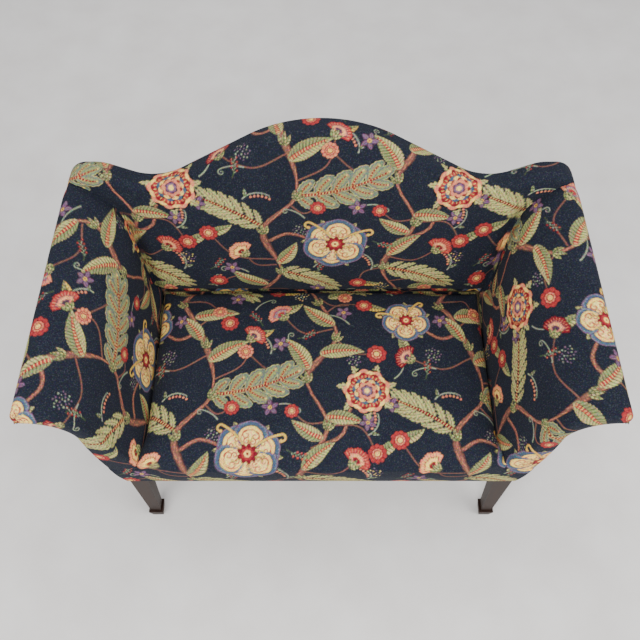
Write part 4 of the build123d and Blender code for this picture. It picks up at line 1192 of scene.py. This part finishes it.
def screw_metal(shader):
    """Zinc-grey screw steel with fine scratches."""
    scratches = shader.noise(shader.place, 400, 3)["Fac"]
    shader.surface({
        "Base Color": shader.ramp(scratches, (0.3, (0.3, 0.3, 0.31)), (0.7, (0.5, 0.5, 0.52))),
        "Metallic": 1.0,
        "Roughness": 0.35,
    })


def finish(context, slot):
    """The material of a slot, mixed at its first use."""
    wood = linear(context.scene.settee_colours.wood)
    name, recipe, *details = {
        "mahogany": ("polished mahogany", timber, wood * 0.5, wood * 1.3, 0.5, 0.08),
        "frame_wood": ("beech frame", timber, (0.33, 0.22, 0.12), (0.55, 0.4, 0.24), 0.6, 0.0),
        "padding": ("cotton padding", plain_weave, (0.62, 0.58, 0.5), (0.78, 0.74, 0.66), 60),
        "webbing": ("jute webbing", plain_weave, (0.12, 0.09, 0.06), (0.42, 0.34, 0.22), 160),
        "hessian": ("jute hessian", plain_weave, (0.2, 0.14, 0.08), (0.5, 0.38, 0.23), 220),
        "dust_cloth": (
            "black dust cloth", plain_weave, (0.012, 0.012, 0.013), (0.04, 0.04, 0.042), 260),
        "screw_steel": ("screw steel", screw_metal),
        "tapestry": ("flowered tapestry", tapestry_cloth),
    }[slot]
    if name not in bpy.data.materials:
        recipe(Shader(name), *details)
    return bpy.data.materials[name]


class SETTEE_OT_frame_finish(bpy.types.Operator):
    """Gives each wooden, webbed and lined part its finish"""

    bl_idname = "settee.frame_finish"
    bl_label = "Finish the frame"

    def execute(self, context):
        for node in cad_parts.values():
            slot = node.data.materials[0].name.split(".")[0]
            node.data.materials.clear()
            node.data.materials.append(finish(context, slot))
        return {"FINISHED"}


class SETTEE_OT_seat(bpy.types.Operator):
    """Covers the tight seat and the front band with one cloth"""

    bl_idname = "settee.seat"
    bl_label = "Cover the seat"

    def execute(self, context):
        size = context.scene.settee
        front, rear, roll = size.seat_front, back_foot(size), size.seat_roll
        top, hem, band = size.seat_height, size.hem_height, size.band_top
        under_back, arm_gap, corner_wrap = 0.022, 0.0105, 0.012
        fold_in, fold_low = np.array([0.0015, 0.0032]), 0.001
        side_round, side_fall, side_tuck = 0.032, 0.026, 0.016
        rear_round, rear_fall, rear_start = 0.026, 0.034, 0.009
        swell, bulge, bulge_half, bulge_fade = 0.003, 0.012, 0.33, 0.11

        # Rows go from the back to the front, over the roll, down the band and in under the hem.
        flat_y = np.linspace(rear + under_back, front + roll, 226)
        bend = np.linspace(0, QUARTER, 20)[1:]
        fall = np.linspace(roll, top - hem, 48)[1:]
        y = np.concatenate([
            flat_y, front + roll * (1 - np.sin(bend)), np.full(len(fall), front), front + fold_in,
        ])[:, None]
        drop = np.concatenate([
            np.zeros(len(flat_y)), roll * (1 - np.cos(bend)), fall,
            np.full(2, top - hem + fold_low),
        ])[:, None]
        level = top - drop
        leaving = smooth(drop / (top - band))  # 0 on the seat, 1 on the band below the arms
        inward = smooth((y - front - 0.015) / 0.08)  # 0 at the front edge, 1 between the arms

        # Each row runs straight out and turns round the lower front corner of the arm.
        across = np.linspace(-1, 1, 441)
        top_half = Arm(size, y).inside_reach(top - 0.012) - arm_gap * inward
        band_half = Arm(size, np.full_like(y, front)).side_reach(np.minimum(level, band))
        half = top_half + (band_half - top_half) * leaving
        corner = size.arm_edge * leaving + 1e-4
        arc = np.abs(across) * (half + (corner * (QUARTER - 1) + corner_wrap) * leaving)
        past = arc - half + corner
        turn = np.clip(past / corner, 0, QUARTER)
        x = np.minimum(arc, half - corner) + corner * np.sin(turn)
        back_y = y + corner * (1 - np.cos(turn)) + np.maximum(past - corner * QUARTER, 0)

        # The top swells in the middle and rounds off at the arms and the back.
        depth = np.clip((y - front) / size.seat_depth, 0, 1)
        offside = x / top_half
        crown = size.seat_crown * np.clip(1 - offside**2, 0, 1) * 4 * depth * (1 - depth)
        beside_arm = np.clip(1 - (half - x) / side_round, 0, 1)
        before_back = np.clip(1 - (rear + rear_start - y) / rear_round, 0, 1)
        sunk = np.maximum(
            (side_fall + side_tuck * inward) * quarter_round(beside_arm),
            rear_fall * quarter_round(before_back),
        )
        z = level + crown - (sunk + 0.004 * offside**4) * (1 - leaving)

        # The band bulges over its padding and is tucked in where an arm stands on it.
        lift = np.clip((level - hem) / (top - roll - hem), 0, 1)
        middle = 1 - smooth((x - bulge_half) / bulge_fade)
        forward = swell * np.sin(math.pi * lift) + bulge * np.sin(lift * QUARTER) * middle
        under_arm = smooth((x - top_half + 0.004) / 0.012)
        tucked = 0.008 * under_arm * smooth((level - band) / 0.005 + 0.4)
        back_y = back_y - forward * smooth(drop / roll) + tucked * smooth(drop / 0.004)
        points = np.stack([np.sign(across) * x, back_y, z], axis=-1)[::-1]

        run = lengths(points, 0)[:, len(across) // 2, None]
        cloth = np.stack([(np.sign(across) * arc)[::-1], np.broadcast_to(run, arc.shape)], axis=-1)
        held = np.broadcast_to(drop > 0.012, arc.shape)[::-1]
        points = points + stuffing(context, points, held, 3.0, 0.009)
        piece = tapestry_piece(
            context, "seat_upholstery", points, cloth, SEAT_CLOTH, 0.0032, PADDED_STRIDE)
        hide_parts("seat_cover", "seat_pad")
        return {"FINISHED"}


class SETTEE_OT_inside_back(bpy.types.Operator):
    """Covers the inside back and pulls its cloth over the camel crest"""

    bl_idname = "settee.inside_back"
    bl_label = "Cover the inside back"

    def execute(self, context):
        size = context.scene.settee
        roll, rear_roll, thick = size.crest_roll, 0.012, size.back_thickness
        low_rise, into_arm, swell_half = -0.032, 0.018, 0.46
        foot_tuck, foot_start, foot_round, crease_width = 0.034, 0.024, 0.036, 0.036

        # The foot goes down behind the seat and follows the arms a little inside their cloth.
        line, normal = crest(size, 0.0022)
        top = line - normal * roll
        x, top_rise = top.T
        rise = np.linspace(-0.06, 0.37, 200)
        spot = back_place(size, 0.0, rise, 0.0)
        reach = Arm(size, spot[:, 1]).inside_reach(spot[:, 2])
        on_arm = reach < 0.7
        inner = np.abs(x) - into_arm
        foot = np.interp(inner, reach[on_arm], rise[on_arm])
        foot = np.where(inner < np.interp(low_rise, rise, reach), low_rise, foot)
        foot = np.minimum(foot, top_rise - 0.006)

        # The face swells in the middle, sinks at its foot and creases along the arms.
        part = np.linspace(0, 1, 231)[:, None]
        face_rise = foot + (top_rise - foot) * part
        face_x = np.broadcast_to(x, face_rise.shape)
        offside = np.abs(face_x)
        share = face_rise / np.maximum(top_rise, 0.2)
        inward = np.clip(1 - (offside / swell_half) ** 2, 0, 1)
        depth = size.back_crown * inward * np.clip(4 * share * (1 - share), 0, 1)
        tuck = foot_tuck - 0.018 * smooth((offside - 0.425) / 0.02)
        depth = depth - tuck * quarter_round(np.clip((foot_start - face_rise) / foot_round, 0, 1))
        spot = back_place(size, face_x, face_rise, depth)
        reach = Arm(size, spot[..., 1]).inside_reach(spot[..., 2])
        crease = np.clip(1 - (reach - offside) / crease_width, 0, 1)
        depth = depth - (0.016 - 0.011 * smooth((offside - 0.47) / 0.07)) * crease**2

        # The cloth goes on over the crest: round its front edge, back, and round its rear edge.
        bend = np.linspace(0, QUARTER, 14)[1:, None]
        flat = np.linspace(roll, thick - rear_roll, 13)[1:, None]
        turn = np.linspace(0, QUARTER, 8)[1:, None]
        out = np.concatenate([
            roll * np.sin(bend), np.full(flat.shape, roll), roll - rear_roll * (1 - np.cos(turn))])
        back = np.concatenate([
            roll * (1 - np.cos(bend)), flat, thick - rear_roll * (1 - np.sin(turn))])
        path = np.concatenate([
            roll * bend, roll * (QUARTER - 1) + flat,
            roll * (QUARTER - 1) + flat[-1] + rear_roll * turn])
        wrap = top + normal * out[..., None]
        points = np.concatenate([
            back_place(size, face_x, face_rise, depth),
            back_place(size, wrap[..., 0], wrap[..., 1], depth[-1] * (1 - back / thick) - back)])

        cloth = np.concatenate([
            np.stack([face_x, face_rise], axis=-1), top + normal * path[..., None]])
        held = np.ones(points.shape[:2], bool)
        held[:len(part) - 4] = crease[:-4] > 0.3
        points = points + stuffing(context, points, held, 2.2, 0.008)
        piece = tapestry_piece(
            context, "inside_back_upholstery", points, cloth, (0.310, 0.010), 0.006, PADDED_STRIDE)
        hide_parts("inside_back_cover", "back_pad")
        return {"FINISHED"}


class SETTEE_OT_inside_arms(bpy.types.Operator):
    """Covers each inside arm, over its roll and round its padded front edge"""

    bl_idname = "settee.inside_arms"
    bl_label = "Cover the inside arms"

    def execute(self, context):
        size = context.scene.settee
        front, edge = size.seat_front, size.arm_edge
        into_back, crease_width, crease_depth = 0.028, 0.034, 0.012
        least_width, puff_share, most_puff = 0.0009, 0.06, 0.003
        body_columns, face_columns, edge_columns = 236, 25, 9

        # The body runs from the back to the front edge and creases along the back.
        part = np.linspace(0, 1, 226)[:, None]
        rear = meets_back(size, part, Arm.inside, into_back)
        y = rear + (front + edge - rear) * np.linspace(0, 1, body_columns)
        x, z = Arm(size, y).inside(part)
        body = np.stack([x, y, z], axis=-1)
        crease = np.clip(1 - (rear - into_back - y) / crease_width, 0, 1)
        deep = crease_depth * smooth((z - 0.425) / 0.05) * (1 - 0.7 * smooth((z - 0.68) / 0.08))
        body = body - facing(body) * (deep * crease**2)[..., None]

        def edge_row(turn, outline):
            """One row of the padded edge, from the side at no turn to the front at a quarter."""
            arm = Arm(size, np.full_like(part, front + edge), edge * (1 - math.cos(turn)))
            x, z = outline(arm, part)
            y = np.full_like(part, front + edge * (1 - math.sin(turn)))
            return np.stack([x, y, z], axis=-1)

        # The front goes round the inner edge, across a puffed face and round the outer edge.
        bend = np.linspace(0, QUARTER, edge_columns + 1)
        inner = [edge_row(turn, Arm.inside) for turn in bend[1:]]
        outer = [edge_row(turn, Arm.front_outer) for turn in bend[::-1]]
        gap = outer[0] - inner[-1]
        width = np.linalg.norm(gap, axis=2, keepdims=True)
        # Where the two edges meet under the lip, they are kept a little apart.
        apart = np.maximum(least_width - width, 0) * (gap / np.maximum(width, 1e-9))[-6]
        outer = [row + apart for row in outer]
        puff = np.minimum(width[..., 0] * puff_share, most_puff)
        face = []
        for step in np.linspace(0, 1, face_columns + 1)[1:]:
            row = inner[-1] + (gap + apart) * step
            row[..., 1] -= puff * math.sin(math.pi * step)
            face.append(row)
        points = np.concatenate([body, *inner, *face, *outer[1:]], axis=1)
        on_front = np.arange(points.shape[1]) >= body_columns
        sunk = 0.0035 * smooth((size.band_top + 0.002 - points[..., 2]) / 0.004)
        points[..., 1] += sunk * on_front

        run = lengths(points, 1)
        run = run - run[:, body_columns - 1, None]
        more = [(0, 0), (0, points.shape[1] - body_columns)]
        rise = np.pad(lengths(points[:, :body_columns], 0), more, mode="edge")
        held = on_front | (part > 0.86) | (np.pad(crease, more) > 0.3)
        points = points + stuffing(context, points, held, 2.2, 0.006)
        for side, hand in SIDES:
            cloth = np.stack([run * hand, rise], axis=-1)
            offset = (SEAT_CLOTH[0] + 0.437 * hand, SEAT_CLOTH[1] + 0.0765)
            piece = tapestry_piece(
                context, f"inside_arm_upholstery_{side}", points, cloth, offset, 0.005,
                PADDED_STRIDE, hand < 0)
            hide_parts(f"inside_arm_cover_{side}", f"arm_pad_{side}")
        return {"FINISHED"}


class SETTEE_OT_outside_covers(bpy.types.Operator):
    """Covers the outside arms and the outside back"""

    bl_idname = "settee.outside_covers"
    bl_label = "Cover the outsides"

    def execute(self, context):
        self.arms(context)
        self.back(context)
        return {"FINISHED"}

    def arms(self, context):
        """Stretches one cloth over each outside arm, from the hem to the seam under the lip."""
        size = context.scene.settee
        part = np.linspace(0, 1, 122)[:, None]
        past = (size.back_thickness - 0.002) / math.cos(size.back_rake)
        rear = meets_back(size, part, Arm.outside, past)
        y = rear + (size.seat_front + size.arm_edge - rear) * np.linspace(1, 0, 150)
        x, z = Arm(size, y).outside(part)
        points = np.stack([x - 0.0004, y, z], axis=-1)
        run, rise = lengths(points, 1), lengths(points, 0)
        for (side, hand), offset in zip(SIDES, ((0.1, 0.05), (0.4, 0.3))):
            cloth = np.stack([run * hand, rise], axis=-1)
            piece = tapestry_piece(
                context, f"outside_arm_cloth_{side}", points, cloth, offset, 0.002, SHEET_STRIDE,
                hand < 0)
            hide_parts(f"outside_arm_cover_{side}")
            cut_cloth(points)

    def back(self, context):
        """Stretches one cloth over the outside back, from the hem and the arms to the crest."""
        size = context.scene.settee
        thick, lean = size.back_thickness, size.back_rake
        line, normal = crest(size, 0.004)
        x, top = (line - normal * 0.008).T
        level = np.linspace(-0.14, 0.36, 200)
        spot = back_place(size, 0.0, level, -thick)
        reach = Arm(size, spot[:, 1]).side_reach(spot[:, 2])
        hem = (size.hem_height - size.seat_height + thick * math.sin(lean)) / math.cos(lean)
        foot = np.interp(np.abs(x) + 0.001, reach, level, left=hem)
        foot = np.minimum(np.where(np.abs(x) < reach[0], hem, foot), top - 0.004)
        rise = foot + (top - foot) * np.linspace(1, 0, 150)[:, None]
        spread = np.broadcast_to(x, rise.shape)
        points = back_place(size, spread, rise, -thick - 0.001)
        cloth = np.stack([-spread, rise], axis=-1)
        piece = tapestry_piece(
            context, "outside_back_cloth", points, cloth, (0.25, 0.2), 0.002, SHEET_STRIDE)
        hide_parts("outside_back_cover")
        flat = (float(np.ptp(spread)), float(np.ptp(rise)))
        cut_cloth(points, flat)


class SETTEE_OT_inner_layers(bpy.types.Operator):
    """Lays the webbing, the hessian, the arm linings and the dust cloth"""

    bl_idname = "settee.inner_layers"
    bl_label = "Lay the inner layers"

    def execute(self, context):
        size = context.scene.settee
        front, rear = size.seat_front, back_foot(size)
        web_front, web_rear, web_side, web_width = front + 0.011, rear + 0.0296, 0.485, 0.050
        rail_top, rail_low = 0.391, 0.325

        def seat_spot(x, y, lift):
            return np.array([x, y, rail_top + 0.002 + lift])

        def back_spot(x, rise, lift):
            return back_place(size, x, rise, lift - 0.023)

        span = rear - front - 0.042
        places, faces = interlaced(
            seat_spot, [size.seat_width / 7 * step for step in range(-3, 4)],
            [rear - span / 2 + span / 4 * step for step in (-1.5, -0.5, 0.5, 1.5)],
            (web_front, web_rear), (-web_side, web_side), web_width, 0.0015, 0.0012)
        webs = plain_piece(context, "seat_webbing_straps", places, faces, "webbing")
        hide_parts("seat_webbing")
        places, faces = interlaced(
            back_spot, [0.149 * step for step in (-2.5, -1.5, -0.5, 0.5, 1.5, 2.5)], [0.096, 0.236],
            (0.026, 0.306), (-0.4695, 0.4695), web_width, 0.0009, 0.0005)
        webs = plain_piece(context, "back_webbing_straps", places, faces, "webbing")
        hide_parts("back_webbing")

        x, y = np.meshgrid(np.linspace(-0.438, 0.438, 89), np.linspace(web_front, web_rear, 53))
        points = np.stack([x, y, np.full_like(x, rail_top + 0.005)], axis=-1)
        hessian = hessian_piece(context, "seat_hessian_cloth", points)
        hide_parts("seat_hessian")
        cut_cloth(points)

        part = np.linspace(0, 1, 57)[:, None]
        inset = 0.0136
        last = meets_back(size, part, Arm.lining, 0.0225, inset)
        y = last + (front + 0.0425 - last) * np.linspace(0, 1, 61)
        x, z = Arm(size, y, inset).lining(part)
        points = np.stack([x, y, z], axis=-1)
        for side, hand in SIDES:
            lining = hessian_piece(context, f"arm_lining_cloth_{side}", points, hand < 0)
            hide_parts(f"arm_lining_{side}")
            cut_cloth(points)

        self.dust_cloth(context, web_front, rear + 0.0169, web_side, rail_low)
        return {"FINISHED"}

    def dust_cloth(self, context, front, rear, side, rail_low):
        """Lays a thin black cloth under the frame: cut round the legs, hemmed and tacked."""
        leg_x, leg_front, leg_rear = 0.4455, -0.2800, 0.1570
        hem, sag, thin, fold, close = 0.014, 0.005, 0.0006, 0.0005, 0.0001
        columns = np.unique([*np.linspace(-side, side, 98), -leg_x, leg_x, hem - side, side - hem])
        cuts = (leg_front, leg_rear, front + hem, rear - hem)
        rows = np.unique([*np.linspace(front, rear, 51), *cuts])
        x, y = np.meshgrid(columns, rows)
        offside = np.abs(x)
        middle = (leg_front + leg_rear) / 2
        slack = np.clip(1 - (x / 0.455) ** 2, 0, 1) * np.clip(1 - ((y - middle) / 0.215) ** 2, 0, 1)
        upper = rail_low - 0.0002 - sag * slack
        inside_edge = np.minimum(np.minimum(side - offside, y - front), rear - y)
        past_leg = np.maximum(offside - leg_x, np.maximum(leg_front - y, y - leg_rear))
        beside_leg = (past_leg > -hem) & (offside > leg_x - hem - close)
        lower = upper - thin - fold * ((inside_edge < hem + close) | beside_leg)

        # Cells beside the legs are left out, and each edge with cloth on one side gets a face.
        at_x = np.abs(columns[1:] + columns[:-1]) / 2
        at_y = (rows[1:] + rows[:-1])[:, None] / 2
        at_leg = (at_x > leg_x) & ((at_y < leg_front) | (at_y > leg_rear))
        cells = quads(np.arange(x.size).reshape(x.shape))[~at_leg.ravel()]
        edges = {pair for cell in cells.tolist() for pair in zip(cell, cell[1:] + cell[:1])}
        faces = cells.tolist() + (cells[:, ::-1] + x.size).tolist()
        faces += [
            [second, first, first + x.size, second + x.size]
            for first, second in sorted(edges) if (second, first) not in edges
        ]
        kept = np.unique(faces)
        skins = [np.stack([x, y, z], axis=-1).reshape(-1, 3) for z in (upper, lower)]
        places = np.concatenate(skins)[kept]
        faces = np.searchsorted(kept, faces).tolist()
        cloth = plain_piece(context, "dust_cloth", places, faces, "dust_cloth")
        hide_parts("dust_cover")

        in_by, level = 0.008, rail_low - 0.0013
        across = np.linspace(-0.425, 0.425, 16)
        down = np.linspace(leg_front + 0.02, leg_rear - 0.02, 8)
        spots = [(at, line) for line in (front + in_by, rear - in_by) for at in across]
        spots += [(line, at) for line in (in_by - side, side - in_by) for at in down]
        # Reach and drop of the rings of a tack's domed head.
        head = ((0.0040, -0.0003), (0.0042, 0.0), (0.0034, 0.0010), (0.0018, 0.0016))
        places, faces = [], []
        for spot in spots:
            tube([
                [(*(spot + reach * way(turn)), level - drop) for turn in turns(12)]
                for reach, drop in head
            ], places, faces)
        tacks = plain_piece(context, "dust_cloth_tacks", places, faces, "screw_steel")


class SETTEE_OT_stage(bpy.types.Operator):
    """Sets the pale floor, the soft light and the camera"""

    bl_idname = "settee.stage"
    bl_label = "Set the stage"

    def execute(self, context):
        mesh = bpy.data.meshes.new("floor")
        mesh.from_pydata([(-9, -9, 0), (9, -9, 0), (9, 9, 0), (-9, 9, 0)], [], [(0, 1, 2, 3)])
        floor = add_object(context, "floor", mesh)
        shader = Shader("pale floor")
        cloud = shader.noise(shader.place, 6, 5)["Fac"]
        shader.surface({
            "Base Color": shader.ramp(cloud, (0.3, (0.80, 0.76, 0.72)), (0.7, (0.88, 0.85, 0.81))),
            "Roughness": 0.8,
        })
        mesh.materials.append(shader.material)
        for name, spot, aim, power, spread in (
            ("key", (-0.9, -2.7, 2.9), (0, 0, 0.5), 122, 2.6),
            ("fill", (2.4, -1.5, 2.7), (0, 0, 0.5), 66, 2.4),
            ("top", (0, 1.0, 3.2), (0, 0.1, 0.6), 40, 2.2),
        ):
            lamp = bpy.data.lights.new(name, "AREA")
            lamp.energy = power
            lamp.size = spread
            light = add_object(context, name, lamp)
            light.location = spot
            light.rotation_euler = (Vector(aim) - Vector(spot)).to_track_quat("-Z", "Y").to_euler()
        world = bpy.data.worlds.new("studio")
        world.use_nodes = True
        world.node_tree.nodes["Background"].inputs["Color"].default_value = (0.9, 0.93, 1.0, 1)
        world.node_tree.nodes["Background"].inputs["Strength"].default_value = 0.66
        context.scene.world = world
        lens = bpy.data.cameras.new("camera")
        lens.lens = 43.7
        lens.sensor_width = 36
        camera = add_object(context, "camera", lens)
        camera.location = (-0.003, context.scene.settee.seat_front - 0.638, 2.253)
        camera.rotation_euler = (math.radians(30), 0, 0)
        context.scene.camera = camera
        return {"FINISHED"}


class SETTEE_PT_panel(bpy.types.Panel):
    """Lists the settee's steps and sizes"""

    bl_idname = "SETTEE_PT_panel"
    bl_label = "Camelback settee"
    bl_space_type = "VIEW_3D"
    bl_region_type = "UI"
    bl_category = "Settee"

    def draw(self, context):
        for step in STEPS:
            self.layout.operator(step.bl_idname)
        for group in (context.scene.settee, context.scene.settee_colours):
            column = self.layout.column()
            for name in group.__annotations__:
                column.prop(group, name)


STEPS = (
    SETTEE_OT_frame_finish,
    SETTEE_OT_seat,
    SETTEE_OT_inside_back,
    SETTEE_OT_inside_arms,
    SETTEE_OT_outside_covers,
    SETTEE_OT_inner_layers,
    SETTEE_OT_stage,
)
CLASSES = (SetteeSizes, SetteeColours, *STEPS, SETTEE_PT_panel)


def register():
    for each in CLASSES:
        bpy.utils.register_class(each)
    bpy.types.Scene.settee = PointerProperty(type=SetteeSizes)
    bpy.types.Scene.settee_colours = PointerProperty(type=SetteeColours)


def unregister():
    del bpy.types.Scene.settee_colours
    del bpy.types.Scene.settee
    for each in reversed(CLASSES):
        bpy.utils.unregister_class(each)


def main():
    register()
    bpy.ops.settee.frame_finish()
    bpy.ops.settee.seat()
    bpy.ops.settee.inside_back()
    bpy.ops.settee.inside_arms()
    bpy.ops.settee.outside_covers()
    bpy.ops.settee.inner_layers()
    bpy.ops.settee.stage()


if __name__ == "__main__":
    main()
